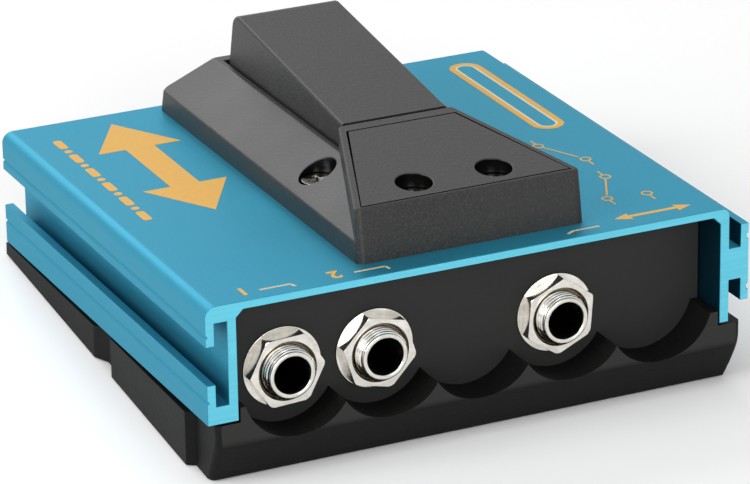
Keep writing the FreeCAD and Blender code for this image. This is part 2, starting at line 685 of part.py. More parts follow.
def make_pedal_housing():
    housing = body("pedal_housing")
    tall = "20"
    add(housing, "XY_Plane", "shell_height", tall,
        corners=rectangle(HOUSING_LEFT, HOUSING_RIGHT, "housing_front", HOUSING_FAR))
    # Sloped sides and the ridge, which rise a little away from the jack end
    take(housing, "XZ_Plane", "0", "housing_length + 10", tilt="ridge_rise",
         pivot=("housing_front", "shell_height"), corners=housing_roof("0"))
    # Block that flares towards the jack end and holds the hinge
    add(housing, "XY_Plane", "shell_height", tall, corners=[
        (HOUSING_LEFT, "housing_front"),
        (HOUSING_RIGHT, "housing_front"),
        (HOUSING_RIGHT, "housing_front + block_near_flat"),
        ("pedal_middle + block_far_width / 2", BLOCK_FAR),
        ("pedal_middle - block_far_width / 2", BLOCK_FAR),
        (HOUSING_LEFT, "housing_front + block_near_flat")])
    # Sloping top
    take(housing, "YZ_Plane", HOUSING_LEFT + " - 1", "housing_width + 2", corners=[
        ("0", top_height("0")),
        (HOUSING_FAR, top_height(HOUSING_FAR)),
        (HOUSING_FAR, "shell_height + 40"),
        ("0", "shell_height + 40")])
    # Front and rear faces lean towards each other
    take(housing, "YZ_Plane", HOUSING_LEFT + " - 1", "housing_width + 2", corners=[
        ("housing_front", "shell_height"),
        ("housing_front - 5", "shell_height"),
        ("housing_front - 5", "shell_height + 40"),
        ("housing_front + 40 * tan(front_lean)", "shell_height + 40")])
    take(housing, "YZ_Plane", HOUSING_LEFT + " - 1", "housing_width + 2", corners=[
        (HOUSING_FAR, "shell_height"),
        (HOUSING_FAR + " + 5", "shell_height"),
        (HOUSING_FAR + " + 5", "shell_height + 40"),
        (HOUSING_FAR + " - 40 * tan(rear_lean)", "shell_height + 40")])
    round_housing(housing)
    # Slot for the treadle
    slot_half = "(treadle_width / 2 + slot_side_gap)"
    take(housing, "XY_Plane", "shell_height - 1", BEYOND, corners=rectangle(
        "pedal_middle - " + slot_half, "pedal_middle + " + slot_half, BLOCK_FAR, "slot_far"))
    # Cradle under the strip and the cover, for the treadle's knuckle
    cradle_near = "(" + BLOCK_FAR + " - cradle_depth)"
    take(housing, "YZ_Plane", "pedal_middle - cradle_width / 2", "cradle_width", corners=[
        (cradle_near, "shell_height - 1"),
        (BLOCK_FAR + " + 0.01", "shell_height - 1"),
        (BLOCK_FAR + " + 0.01", top_height(BLOCK_FAR) + " - strip_thickness"),
        (cradle_near, top_height(cradle_near) + " - strip_thickness")])
    # Seat for the cover
    take(housing, "XY_Plane", "0", "10", tilt="top_tilt",
         pivot=("housing_front", "shell_height + block_height - (cover_thickness + fit_gap / 3)"
                                 " / cos(top_tilt)"),
         corners=cover_outline("cover_gap"))
    # Saddles for the ends of the hinge pin, open upwards
    take(housing, "YZ_Plane", "pedal_middle - hinge_pin_length / 2 - 0.1", "hinge_pin_length + 0.2",
         circles=[(PIN_Y, PIN_Z)], radius="hinge_pin_radius + hinge_play")
    take(housing, "YZ_Plane", "pedal_middle - hinge_pin_length / 2 - 0.1", "hinge_pin_length + 0.2",
         corners=rectangle(PIN_Y + " - hinge_pin_radius - hinge_play",
                           PIN_Y + " + hinge_pin_radius + hinge_play", PIN_Z,
                           top_height(PIN_Y) + " - cover_thickness + 0.5"))
    # Hollows from below, either side of the slot and under the cover's seat
    hollow_out = "(housing_width / 2 - housing_wall)"
    hollow_in = "(" + slot_half + " + housing_wall)"
    for side in ("-1", "1"):
        for near_y, far_y in (("base_screw_near + post_radius + 1", "base_screw_far - post_radius - 1"),):
            low = "(pedal_middle + " + side + " * " + hollow_out + ")"
            high = "(pedal_middle + " + side + " * " + hollow_in + ")"
            take(housing, "XZ_Plane", near_y, far_y + " - (" + near_y + ")", corners=[
                (low, "shell_height - 1"),
                (high, "shell_height - 1"),
                (high, "shell_height + housing_side + (housing_width / 2 - " + hollow_in
                 + ") * tan(slope_angle) - housing_wall"),
                (low, "shell_height + housing_side - housing_wall")])
    front_in = "(housing_front + housing_wall)"
    seat_under = "(block_height - cover_thickness - housing_wall)"
    post_half = "(cover_screw_radius + housing_wall)"
    inner_post = "(cover_screw_spread / 2 - " + post_half + ")"
    outer_post = "(cover_screw_spread / 2 + " + post_half + ")"
    for low, high in (("-" + hollow_out, "-" + outer_post), ("-" + inner_post, inner_post),
                      (outer_post, hollow_out)):
        take(housing, "XY_Plane", "shell_height - 1", "1 + " + seat_under, corners=rectangle(
            "pedal_middle + " + low, "pedal_middle + " + high, front_in,
            cradle_near + " - housing_wall * 2"))
    # Bar across the slot that carries the return spring, with its peg
    add(housing, "XY_Plane", "shell_height", "spring_bar", corners=rectangle(
        "pedal_middle - " + slot_half + " - 0.5", "pedal_middle + " + slot_half + " + 0.5",
        "spring_y - spring_bar_width / 2", "spring_y + spring_bar_width / 2"))
    add(housing, "XY_Plane", "shell_height + spring_bar - 0.2", "spring_peg_height + 0.2",
        circles=[("pedal_middle", "spring_y")], radius="spring_peg")
    # Window that the treadle's catch runs in
    take(housing, "XY_Plane", "shell_height - 1",
         "1 + treadle_skirt_far + catch_height + catch_gap",
         corners=rectangle("pedal_middle - catch_width / 2 - fit_gap",
                           "pedal_middle + catch_width / 2 + fit_gap",
                           "slot_far - 1", "slot_far + catch_reach + fit_gap"))
    # Screw holes: stepped from above in the slopes, plain from below for the base's screws
    take(housing, "XY_Plane", "shell_height - 1", BEYOND, circles=SIDE_SCREWS,
         radius="screw_radius + screw_play")
    take(housing, "XY_Plane", "shell_height + side_screw_seat", BEYOND, circles=SIDE_SCREWS,
         radius="side_screw_bore")
    take(housing, "XY_Plane", "shell_height - 1", "1 + base_screw_bite + 0.3", circles=BASE_SCREWS,
         radius="screw_radius + thread_play")
    take(housing, "XY_Plane", "shell_height + 0.6", BEYOND, circles=COVER_SCREWS,
         radius="cover_screw_radius + thread_play")
    take(housing, "XY_Plane", COVER_HEAD_SEAT + " - cover_boss_wall - fit_gap / 2", BEYOND,
         circles=COVER_SCREWS, radius="cover_screw_bore + cover_boss_wall + fit_gap / 2")


def round_housing(housing):
    """Rounds the housing's outer edges while it is still one plain block."""
    left = size("pedal_middle") - size("housing_width") / 2
    right = left + size("housing_width")
    foot = size("shell_height")

    def outer_corner(edge):
        ends = [corner.Point for corner in edge.Vertexes]
        stands = sum(near(end.z, foot) for end in ends) == 1
        at_side = near(middle(edge).x, left, 0.1) or near(middle(edge).x, right, 0.1)
        return stands and at_side

    round_edges(housing, "corner_radius", outer_corner)
    round_edges(housing, HOUSING_EDGE, lambda edge: middle(edge).z > foot + 1
                and not any(near(corner.Point.z, foot) for corner in edge.Vertexes)
                and edge.Length > 3.0 and not is_hollow(edge, housing),
                kind="PartDesign::Chamfer")


def is_hollow(edge, owner):
    """True where the two faces beside an edge make an inside corner."""
    spot = middle(edge)
    along = edge.tangentAt(edge.FirstParameter)
    shape = owner.Tip.Shape
    reach = 0.2
    across = along.cross(Z_AXIS)
    if across.Length < 0.01:
        across = along.cross(X_AXIS)
    across.normalize()
    other = along.cross(across)
    inside = 0
    samples = 24
    for step in range(samples):
        turn = math.tau * step / samples
        probe = spot + across * (reach * math.cos(turn)) + other * (reach * math.sin(turn))
        inside += shape.isInside(probe, 1e-4, False)
    return inside > samples / 2


def cover_outline(gap):
    """The hinge cover in plan on its sloping plane, measured from the housing's foot line."""
    half_near = "(housing_width / 2 - cover_side_rim + " + gap + ")"
    half_far = "(block_far_width / 2 - cover_side_rim * 0.4 + " + gap + ")"
    low = "(cover_near - " + gap + ") / cos(top_tilt)"
    high = "(block_length - cover_far_rim + " + gap + ") / cos(top_tilt)"
    return [("pedal_middle - " + half_near, low), ("pedal_middle + " + half_near, low),
            ("pedal_middle + " + half_far, high), ("pedal_middle - " + half_far, high)]


def make_hinge_cover():
    cover = body("hinge_cover")
    add(cover, "XY_Plane", "0", "cover_thickness", tilt="top_tilt",
        pivot=("housing_front", "shell_height + block_height - cover_thickness / cos(top_tilt)"),
        corners=cover_outline("0"))
    # Ribs that reach down to the ends of the pin
    for side in ("-1", "1"):
        outer = "(pedal_middle + " + side + " * (hinge_pin_length / 2 - 0.9))"
        add(cover, "YZ_Plane", outer + " - 0.5", "1", corners=rectangle(
            PIN_Y + " - hinge_pin_radius + 0.2", PIN_Y + " + hinge_pin_radius - 0.2",
            PIN_Z + " + hinge_pin_radius + hinge_play",
            top_height(PIN_Y) + " - cover_thickness / 2"))
    # Bosses round the screws, then the stepped screw holes
    add(cover, "XY_Plane", COVER_HEAD_SEAT + " - cover_boss_wall",
        "cover_boss_wall + cover_screw_sink - cover_thickness / 2", circles=COVER_SCREWS,
        radius="cover_screw_bore + cover_boss_wall")
    take(cover, "XY_Plane", "shell_height", BEYOND, circles=COVER_SCREWS,
         radius="cover_screw_radius + screw_play")
    take(cover, "XY_Plane", COVER_HEAD_SEAT, BEYOND, circles=COVER_SCREWS, radius="cover_screw_bore")


COVER_HEAD_SEAT = ("(" + top_height("(housing_front + cover_screw_from_front)")
                   + " - cover_screw_sink)")


def make_treadle():
    treadle = body("treadle")
    top_near = top_height(TREADLE_NEAR)
    corner_y = "(treadle_far - 10 * tan(treadle_lean))"
    skirt_near = "(shell_height + treadle_skirt_near)"
    skirt_far = "(shell_height + treadle_skirt_far)"
    add(treadle, "YZ_Plane", TREADLE_LEFT, "treadle_width", corners=[
        (TREADLE_NEAR, skirt_near),
        ("treadle_far", skirt_far),
        ("treadle_far - 30 * tan(treadle_lean)", skirt_far + " + 30"),
        (TREADLE_NEAR, skirt_far + " + 30")])
    take(treadle, "YZ_Plane", TREADLE_LEFT + " - 1", "treadle_width + 2", corners=[
        ("0", top_height("0")),
        ("treadle_far + 20", top_height("(treadle_far + 20)")),
        ("treadle_far + 20", "shell_height + 60"),
        ("0", "shell_height + 60")])
    high = size("shell_height") + size("block_height")
    far = size("treadle_far")
    round_edges(treadle, "treadle_far_radius", lambda edge: runs_along(edge, X_AXIS)
                and middle(edge).z > high and middle(edge).y > far - LARGE / 2)
    foot = size("shell_height") + size("treadle_skirt_far")
    round_edges(treadle, "treadle_edge_radius", lambda edge: middle(edge).z > foot + 0.5
                and edge.Length > 1.0 and not runs_along(edge, X_AXIS)
                and not near(middle(edge).y, size("housing_front") + size("block_length")
                             + size("treadle_gap"), 0.05))
    # Hollow from below
    wall = "treadle_wall"
    take(treadle, "YZ_Plane", TREADLE_LEFT + " + " + wall, "treadle_width - 2 * " + wall, corners=[
        (TREADLE_NEAR + " + " + wall, "shell_height - 5"),
        ("treadle_far - " + wall, "shell_height - 5"),
        ("treadle_far - " + wall, skirt_far),
        ("treadle_far - " + wall + " - 10.5 * tan(treadle_lean)", skirt_far + " + 10.5"),
        ("treadle_far - " + wall + " - 10.5 * tan(treadle_lean) - 2",
         top_height("(treadle_far - 12.5 * tan(treadle_lean))") + " - " + wall + " - 0.6"),
        (TREADLE_NEAR + " + " + wall, top_height(TREADLE_NEAR) + " - " + wall)])
    # Knuckle and the arm that carries it under the strip
    knuckle_half = "(cradle_width / 2 - knuckle_side_gap)"
    add(treadle, "YZ_Plane", "pedal_middle - " + knuckle_half, "2 * " + knuckle_half,
        corners=rectangle(PIN_Y, TREADLE_NEAR + " + " + wall, PIN_Z + " - treadle_arm / 2",
                          PIN_Z + " + treadle_arm / 2"))
    add(treadle, "YZ_Plane", "pedal_middle - " + knuckle_half, "2 * " + knuckle_half,
        circles=[(PIN_Y, PIN_Z)], radius="knuckle_radius")
    take(treadle, "YZ_Plane", "pedal_middle - " + knuckle_half + " - 1", "2 * " + knuckle_half + " + 2",
         circles=[(PIN_Y, PIN_Z)], radius="hinge_pin_radius + hinge_play")
    # Boss that presses the plunger, and the spring's upper peg
    add(treadle, "XY_Plane", PLUNGER_TOP + " + plunger_gap",
        top_height("switch_y") + " - " + wall + " / 2 - " + PLUNGER_TOP + " - plunger_gap",
        circles=[("pedal_middle", "switch_y")], radius="plunger_radius")
    add(treadle, "XY_Plane", SPRING_TOP + " + spring_play",
        top_height("spring_y") + " - " + wall + " / 2 - " + SPRING_TOP + " - spring_play",
        circles=[("pedal_middle", "spring_y")], radius="spring_radius + fit_gap * 2")
    add(treadle, "XY_Plane", SPRING_TOP + " - spring_peg_height",
        top_height("spring_y") + " - " + wall + " / 2 - " + SPRING_TOP + " + spring_peg_height",
        circles=[("pedal_middle", "spring_y")], radius="spring_peg")
    # Catch that stops the treadle at rest
    add(treadle, "XY_Plane", "shell_height + treadle_skirt_far", "catch_height", corners=rectangle(
        "pedal_middle - catch_width / 2", "pedal_middle + catch_width / 2",
        "treadle_far - treadle_wall / 2", "slot_far + catch_reach"))


PLUNGER_TOP = "(shell_height + plunger_rise)"
SPRING_LOW = "(shell_height + spring_bar)"
SPRING_TOP = "(" + top_height("(spring_y - spring_radius)") + " - treadle_wall - fit_gap)"

# Directions that a round bar or a plate can face, as turns from z
FACING = {"x": FreeCAD.Rotation(vector(0, 1, 0), 90),
          "y": FreeCAD.Rotation(vector(1, 0, 0), -90),
          "z": FreeCAD.Rotation()}


def place_at(thing, spot, along="z", turned=0):
    facing = FACING[along].multiply(FreeCAD.Rotation(Z_AXIS, turned))
    thing.Placement = FreeCAD.Placement(vector(0, 0, 0), facing)
    for axis, text in zip("xyz", spot):
        bind(thing, "Placement.Base." + axis, text)
    return thing


def cylinder(spot, radius, length, along="z"):
    made = doc.addObject("Part::Cylinder", "cylinder")
    bind(made, "Radius", radius)
    bind(made, "Height", length)
    return place_at(made, spot, along)


def cone(spot, first_radius, last_radius, length, along="z"):
    made = doc.addObject("Part::Cone", "cone")
    bind(made, "Radius1", first_radius)
    bind(made, "Radius2", last_radius)
    bind(made, "Height", length)
    return place_at(made, spot, along)


def ball(spot, radius):
    made = doc.addObject("Part::Sphere", "ball")
    bind(made, "Radius", radius)
    return place_at(made, spot)


def block(low, sides):
    made = doc.addObject("Part::Box", "block")
    for prop, text in zip(("Length", "Width", "Height"), sides):
        bind(made, prop, text)
    return place_at(made, low)


def hexagon(spot, flats, length, along="z", turned=0):
    made = doc.addObject("Part::Prism", "hexagon")
    made.Polygon = 6
    bind(made, "Circumradius", flats + " / 2 / cos(30)")
    bind(made, "Height", length)
    return place_at(made, spot, along, turned)


def cut(solid, tools):
    for tool in tools:
        made = doc.addObject("Part::Cut", "cut")
        made.Base = solid
        made.Tool = tool
        solid = made
    return solid


def common(first, second):
    made = doc.addObject("Part::Common", "common")
    made.Base = first
    made.Tool = second
    return made


def join(solids):
    made = doc.addObject("Part::MultiFuse", "join")
    made.Shapes = solids
    return made


def group(label, solids):
    """A sub-part made of one or more separate solids."""
    made = doc.addObject("Part::Compound", label)
    made.Label = label
    made.Links = solids
    parts.append(made)
    return made


def raised(spot, height):
    return (spot[0], spot[1], spot[2] + " + " + height)


def cross_tools(spot, width, depth, upward):
    """Two crossed blocks that cut a driver's recess into the face of a screw head."""
    start = spot[2] + (" - " + depth if upward else " - " + BEYOND + " + " + depth)
    tall = BEYOND
    arm = "(" + width + " / 4)"
    return [block((spot[0] + " - " + width + " / 2", spot[1] + " - " + arm + " / 2", start),
                  (width, arm, tall)),
            block((spot[0] + " - " + arm + " / 2", spot[1] + " - " + width + " / 2", start),
                  (arm, width, tall))]


def make_screw(seat, head_radius, head_height, shank_radius, shank_length, head_up=True):
    """A cross-head screw with its head on the seat, pointing away from it."""
    x, y, z = seat
    if head_up:
        shank_start = (x, y, z + " - " + shank_length)
        head_start = seat
        face = raised(seat, head_height)
    else:
        shank_start = seat
        head_start = (x, y, z + " - " + head_height)
        face = head_start
    shank = cylinder(shank_start, shank_radius, shank_length)
    head = cylinder(head_start, head_radius, head_height)
    return cut(join([shank, head]),
               cross_tools(face, "(" + head_radius + " * 1.2)", "(" + head_height + " / 2)", head_up))


def make_screws():
    group("cover_screws", [make_screw((x, y, COVER_HEAD_SEAT), "cover_screw_head",
                                      "cover_screw_head_height", "cover_screw_radius",
                                      "cover_screw_bite") for x, y in COVER_SCREWS])
    side_seat = "(shell_height + side_screw_seat)"
    group("side_screws", [make_screw((x, y, side_seat), "side_screw_head", "side_screw_head_height",
                                     "screw_radius", "(side_screw_seat + plate_thickness"
                                     " + nut_plate_thickness + 1.2)") for x, y in SIDE_SCREWS])
    group("base_screws", [make_screw(
        (x, y, sole_height(y, "base_screw_sink + base_screw_head_height")), "base_screw_head",
        "base_screw_head_height", "screw_radius",
        "(shell_height + base_screw_bite - " + sole_height(y, "base_screw_sink + base_screw_head_height")
        + ")", head_up=False) for x, y in BASE_SCREWS])
    group("board_screws", [make_screw((x, y, BOARD_TOP), "board_screw_head",
                                      "board_screw_head_height", "board_screw_radius",
                                      "(board_thickness + 3.6)") for x, y in BOARD_SCREWS])


def make_nut_plate():
    left = "(pedal_middle - " + SIDE_SCREW_SPREAD + " / 2 - nut_plate_margin)"
    plate = block((left, "side_screw_y - nut_plate_width / 2", PLATE_UNDER + " - nut_plate_thickness"),
                  (SIDE_SCREW_SPREAD + " + 2 * nut_plate_margin", "nut_plate_width", "nut_plate_thickness"))
    holes = [cylinder((x, y, PLATE_UNDER + " - nut_plate_thickness - 1"),
                      "screw_radius + thread_play", "nut_plate_thickness + 2") for x, y in SIDE_SCREWS]
    group("nut_plate", [cut(plate, holes)])


def make_hinge_pin():
    spot = ("pedal_middle - hinge_pin_length / 2", PIN_Y, PIN_Z)
    group("hinge_pin", [cylinder(spot, "hinge_pin_radius", "hinge_pin_length", along="x")])


def make_return_spring():
    middle_radius = "(spring_radius - spring_wire)"
    low = SPRING_LOW + " + spring_wire + spring_play"
    height = "(" + SPRING_TOP + " - " + SPRING_LOW + " - 2 * spring_wire - spring_play)"
    coil = doc.addObject("Part::Helix", "coil")
    bind(coil, "Radius", middle_radius)
    bind(coil, "Height", height)
    bind(coil, "Pitch", height + " / spring_turns")
    place_at(coil, ("pedal_middle", "spring_y", low))
    wire = doc.addObject("Part::Circle", "wire")
    bind(wire, "Radius", "spring_wire")
    place_at(wire, ("pedal_middle + " + middle_radius, "spring_y", low), along="y")
    swept = doc.addObject("Part::Sweep", "swept")
    swept.Sections = [wire]
    swept.Spine = (coil, ["Edge1"])
    swept.Solid = True
    swept.Frenet = True
    coil.Visibility = False
    group("return_spring", [swept])


def make_stop_pads():
    edge = "treadle_width / 2"
    group("stop_pads", [
        block(("pedal_middle + " + start, "stop_y - stop_length / 2", "shell_height"),
              ("stop_width", "stop_length", "stop_thickness"))
        for start in ("(-" + edge + ")", "(" + edge + " - stop_width)")])


def make_board():
    board = body("circuit_board")
    top = "(" + BOARD_TOP + ")"
    add(board, "XY_Plane", top + " - board_thickness", "board_thickness", corners=rectangle(
        "board_side", "(shell_width - board_side)", "board_near", "board_near + board_length"))
    take(board, "XY_Plane", top + " - board_thickness - 1", "board_thickness + 2",
         circles=BOARD_SCREWS, radius="board_screw_radius + screw_play")
    pins = [(jack_x(step) + " + " + TIP_PIN[0], TIP_PIN[1]) for step in JACKS.values()]
    pins += [(jack_x(step) + " - " + SLEEVE_PIN[0], SLEEVE_PIN[1]) for step in JACKS.values()]
    take(board, "XY_Plane", top + " - board_thickness - 1", "board_thickness + 2",
         circles=pins, radius="pin_width / 2 + 0.2")
    take(board, "XY_Plane", top + " - board_thickness - 1", "board_thickness + 2",
         circles=[("pedal_middle + " + step + " * lug_pitch", LEAD_END) for step in LUG_STEPS],
         radius="lead_radius + 0.05")


# Where the pins stand, measured from each jack's axis and from the shell's jack end
TIP_SIDE = "(jack_body_width / 2 - jack_body_wall - fit_gap)"
TIP_PIN = ("(" + TIP_SIDE + " - contact_thickness / 2)", "(" + PANEL_BACK + " + 7.4)")
SLEEVE_FRONT = "(" + PANEL_BACK + " + jack_body_wall + bush_flange_thickness)"
SLEEVE_PIN = ("(jack_body_width / 2 - jack_body_wall - fit_gap - pin_width / 2)",
              "(" + SLEEVE_FRONT + " + contact_thickness / 2)")
LUG_STEPS = ("-1", "0", "1")
LEAD_END = "(board_near + board_length - 2.5)"


def make_jack(name, step):
    x = jack_x(step)
    axis_z = "jack_height"
    back = PANEL_BACK
    low = BOARD_TOP
    high = "(jack_height + jack_body_above)"
    wall = "jack_body_wall"
    half = "(jack_body_width / 2)"
    under = "(" + low + " - board_thickness - pin_below_board)"

    # Bush with a bore for the plug, and a flange inside the jack's body
    bush = cut(join([
        cylinder((x, "bush_front", axis_z), "bush_radius", SLEEVE_FRONT + " - bush_front", along="y"),
        cylinder((x, back + " + " + wall, axis_z), "bush_radius + bush_flange",
                 "bush_flange_thickness", along="y")]), [
            cylinder((x, "bush_front - 1", axis_z), "jack_bore", "jack_body_length", along="y"),
            cone((x, "bush_front", axis_z), "jack_bore + bush_mouth", "jack_bore", "bush_mouth",
                 along="y"),
            cut(cylinder((x, "bush_front - 1", axis_z), "bush_radius + 1", "1 + bush_chamfer",
                         along="y"),
                [cone((x, "bush_front - 1", axis_z), "bush_radius - bush_chamfer - 1",
                      "bush_radius + 0.01", "1.01 + bush_chamfer", along="y")])])
    group(name + "_bush", [bush])

    # Moulded box behind the panel, with a cavity for the plug's tip
    body_low = (x + " - " + half, back, low)
    box = cut(block(body_low, ("jack_body_width", "jack_body_length", high + " - " + low)), [
        block((x + " - " + half + " + " + wall, back + " + " + wall, low + " + " + wall),
              ("jack_body_width - 2 * " + wall, "jack_body_length - 2 * " + wall,
               high + " - " + low + " - 2 * " + wall)),
        cylinder((x, back + " - 1", axis_z), "bush_radius + 0.02", wall + " + 2", along="y"),
        block((x + " + " + TIP_PIN[0] + " - contact_thickness / 2 - 0.1",
               TIP_PIN[1] + " - pin_width / 2 - 0.1", low + " - 1"),
              ("contact_thickness + 0.2", "pin_width + 0.2", wall + " + 2")),
        block((x + " - " + SLEEVE_PIN[0] + " - pin_width / 2 - 0.1",
               SLEEVE_PIN[1] + " - contact_thickness / 2 - 0.1", low + " - 1"),
              ("pin_width + 0.2", "contact_thickness + 0.2", wall + " + 2"))])
    group(name + "_body", [box])

    # Leaf that bears on the plug's tip
    leaf = body(name + "_tip_contact")
    side = "(" + x + " + " + TIP_SIDE + ")"
    thick = "contact_thickness"
    root = "(" + back + " + 5)"
    bend = "(" + back + " + 15)"
    heel = "(" + back + " + 20.8)"
    end = "(" + back + " + 22.8)"
    add(leaf, "XY_Plane", axis_z + " - contact_width / 2", "contact_width", corners=[
        (side, root), (side, bend), (side + " - contact_reach", heel),
        (side + " - contact_reach + 1", end), (side + " - contact_reach + 1 - " + thick, end),
        (side + " - contact_reach - " + thick, heel), (side + " - " + thick, bend),
        (side + " - " + thick, root)])
    add(leaf, "XY_Plane", under, axis_z + " - " + under, corners=rectangle(
        side + " - " + thick, side, TIP_PIN[1] + " - pin_width / 2", TIP_PIN[1] + " + pin_width / 2"))

    # Ring behind the bush that carries the plug's sleeve to the board
    sleeve = body(name + "_sleeve_contact")
    pin_left = x + " - " + SLEEVE_PIN[0] + " - pin_width / 2"
    add(sleeve, "XZ_Plane", SLEEVE_FRONT, thick, circles=[(x, axis_z)],
        radius="bush_radius + bush_flange")
    add(sleeve, "XZ_Plane", SLEEVE_FRONT, thick, corners=rectangle(
        pin_left, x + " - bush_radius", axis_z + " - pin_width", axis_z + " + pin_width"))
    add(sleeve, "XZ_Plane", SLEEVE_FRONT, thick, corners=rectangle(
        pin_left, x + " - " + SLEEVE_PIN[0] + " + pin_width / 2", under, axis_z))
    take(sleeve, "XZ_Plane", SLEEVE_FRONT + " - 1", thick + " + 2", circles=[(x, axis_z)],
         radius="jack_bore + 0.35")


def make_jack_fixings():
    washers = []
    nuts = []
    for name, step in JACKS.items():
        x = jack_x(step)
        front = "(apron_depth - washer_thickness)"
        nut_front = "(" + front + " - nut_thickness)"
        washers.append(cut(
            cylinder((x, front, "jack_height"), "washer_radius", "washer_thickness", along="y"),
            [cylinder((x, front + " - 1", "jack_height"), "bush_radius + bush_play",
                      "washer_thickness + 2", along="y")]))
        hexa = hexagon((x, nut_front, "jack_height"), "nut_flats", "nut_thickness", "y",
                       NUT_TURNS[name])
        # The corners are turned down at the front, and the thread starts in a countersink
        corner = "(nut_flats / 2 / cos(30))"
        turned = common(hexa, cone((x, nut_front, "jack_height"), corner + " - nut_corner_cut",
                                   corner + " - nut_corner_cut + 2 * nut_thickness",
                                   "nut_thickness", along="y"))
        nuts.append(cut(turned, [
            cylinder((x, nut_front + " - 1", "jack_height"), "bush_radius + thread_play",
                     "nut_thickness + 2", along="y"),
            cone((x, nut_front, "jack_height"), "bush_radius + thread_play + nut_mouth",
                 "bush_radius + thread_play", "nut_mouth", along="y")]))
    group("jack_washers", washers)
    group("jack_nuts", nuts)


def make_foot_switch():
    x = "pedal_middle"
    y = "switch_y"
    half = "(switch_width / 2)"
    cap_low = "(" + PLATE_UNDER + " - switch_flange)"
    body_low = "(" + PLATE_UNDER + " - switch_body)"

    # Metal frame: a square cap under the shell's plate and the neck that passes through it
    frame = cut(join([
        block((x + " - " + half, y + " - " + half, cap_low), ("switch_width", "switch_width",
                                                              "switch_flange")),
        cylinder((x, y, cap_low), "switch_neck", "switch_flange + switch_neck_height")]), [
            cylinder((x, y, cap_low + " - 1"), "plunger_radius + plunger_play",
                     "switch_flange + switch_neck_height + 2")])
    group("switch_frame", [frame])

    # Moulded body with the cavity that the plunger's foot runs in
    inset = "0.3"
    case = cut(
        block((x + " - " + half + " + " + inset, y + " - " + half + " + " + inset, body_low),
              ("switch_width - 2 * " + inset, "switch_width - 2 * " + inset,
               cap_low + " - " + body_low)),
        [cylinder((x, y, cap_low + " - 6.2"), "plunger_foot + 0.4", "10")])
    group("switch_body", [case])

    foot_low = "(" + cap_low + " - 1.5)"
    plunger = join([
        cylinder((x, y, foot_low), "plunger_foot", "1.2"),
        cylinder((x, y, foot_low), "plunger_radius", PLUNGER_TOP + " - " + foot_low)])
    group("switch_plunger", [plunger])

    hole = "switch_neck + thread_play"
    washer = cut(cylinder((x, y, "shell_height"), "switch_washer_radius", "switch_washer_thickness"),
                 [cylinder((x, y, "shell_height - 1"), "switch_neck + switch_neck_play",
                           "switch_washer_thickness + 2")])
    group("switch_washer", [washer])
    nut_low = "(shell_height + switch_washer_thickness)"
    # Corners of the nut along the treadle, so that its flats face the treadle's sides
    nut = cut(hexagon((x, y, nut_low), "switch_nut_flats", "switch_nut_thickness", turned=30),
              [cylinder((x, y, nut_low + " - 1"), hole, "switch_nut_thickness + 2")])
    group("switch_nut", [nut])

    # The lugs stop above the board, so that the leads run over it
    lug_low = "max(" + body_low + " - lug_length; " + BOARD_TOP + " + lead_radius + 1)"
    lugs = []
    for row in ("-1", "1"):
        for step in LUG_STEPS:
            lugs.append(block((
                x + " + " + step + " * lug_pitch - lug_width / 2",
                y + " + " + row + " * lug_pitch / 2 - lug_thickness / 2", lug_low),
                ("lug_width", "lug_thickness", body_low + " - " + lug_low)))
    group("switch_lugs", lugs)

    # Leads from the near row of lugs to the board
    start_z = lug_low
    run_z = "(" + start_z + " - 0.9)"
    start_y = "(" + y + " - lug_pitch / 2)"
    leads = []
    for step in LUG_STEPS:
        lead_x = x + " + " + step + " * lug_pitch"
        leads.append(join([
            cylinder((lead_x, start_y, run_z), "lead_radius", start_z + " - " + run_z),
            ball((lead_x, start_y, run_z), "lead_radius"),
            cylinder((lead_x, LEAD_END, run_z), "lead_radius", start_y + " - " + LEAD_END, along="y"),
            ball((lead_x, LEAD_END, run_z), "lead_radius"),
            cylinder((lead_x, LEAD_END, BOARD_TOP + " - board_thickness"), "lead_radius",
                     run_z + " - (" + BOARD_TOP + " - board_thickness)")]))
    group("switch_leads", leads)


def stand_level(part):
    """Turns the shell's frame so that the sole lies on z = 0, centred over the origin."""
    part.Placement = FreeCAD.Placement(vector(0, 0, 0), FreeCAD.Rotation(X_AXIS, -1))
    bind(part, "Placement.Rotation.Angle", "-base_tilt")
    front = ("(apron_radius * (cos(base_tilt) - 1) + (apron_radius * tan(apron_lean / 2)"
             " - apron_edge_drop) * sin(base_tilt))")
    far = "(shell_length * cos(base_tilt) + shell_height * sin(base_tilt))"
    bind(part, "Placement.Base.x", "-shell_width / 2")
    bind(part, "Placement.Base.y", "-(" + front + " + " + far + ") / 2")
    bind(part, "Placement.Base.z", "base_depth * cos(base_tilt) + sole_proud")


make_top_shell()
make_base_tray()
make_sole()
make_pedal_housing()
make_hinge_cover()
make_treadle()
make_hinge_pin()
make_return_spring()
make_screws()
make_nut_plate()
make_board()
for jack_name, jack_step in JACKS.items():
    make_jack(jack_name, jack_step)
make_jack_fixings()
make_foot_switch()
make_stop_pads()
for part in parts:
    stand_level(part)
doc.recompute()

for thing in doc.Objects:
    if "Invalid" in thing.State or "Error" in thing.State:
        raise RuntimeError(thing.Name + " did not build")
os.makedirs("parts", exist_ok=True)
for part in parts:
    if part.Shape.isNull() or not part.Shape.isValid() or not part.Shape.Solids:
        raise RuntimeError(part.Label + " has no valid solid")
    part.Shape.exportStep("parts/" + part.Label + ".step")
    print(part.Label, len(part.Shape.Solids), round(part.Shape.Volume, 1))
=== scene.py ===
import json
import math

import bpy
from bpy.props import FloatProperty, FloatVectorProperty, IntProperty, PointerProperty
from mathutils import Matrix, Vector


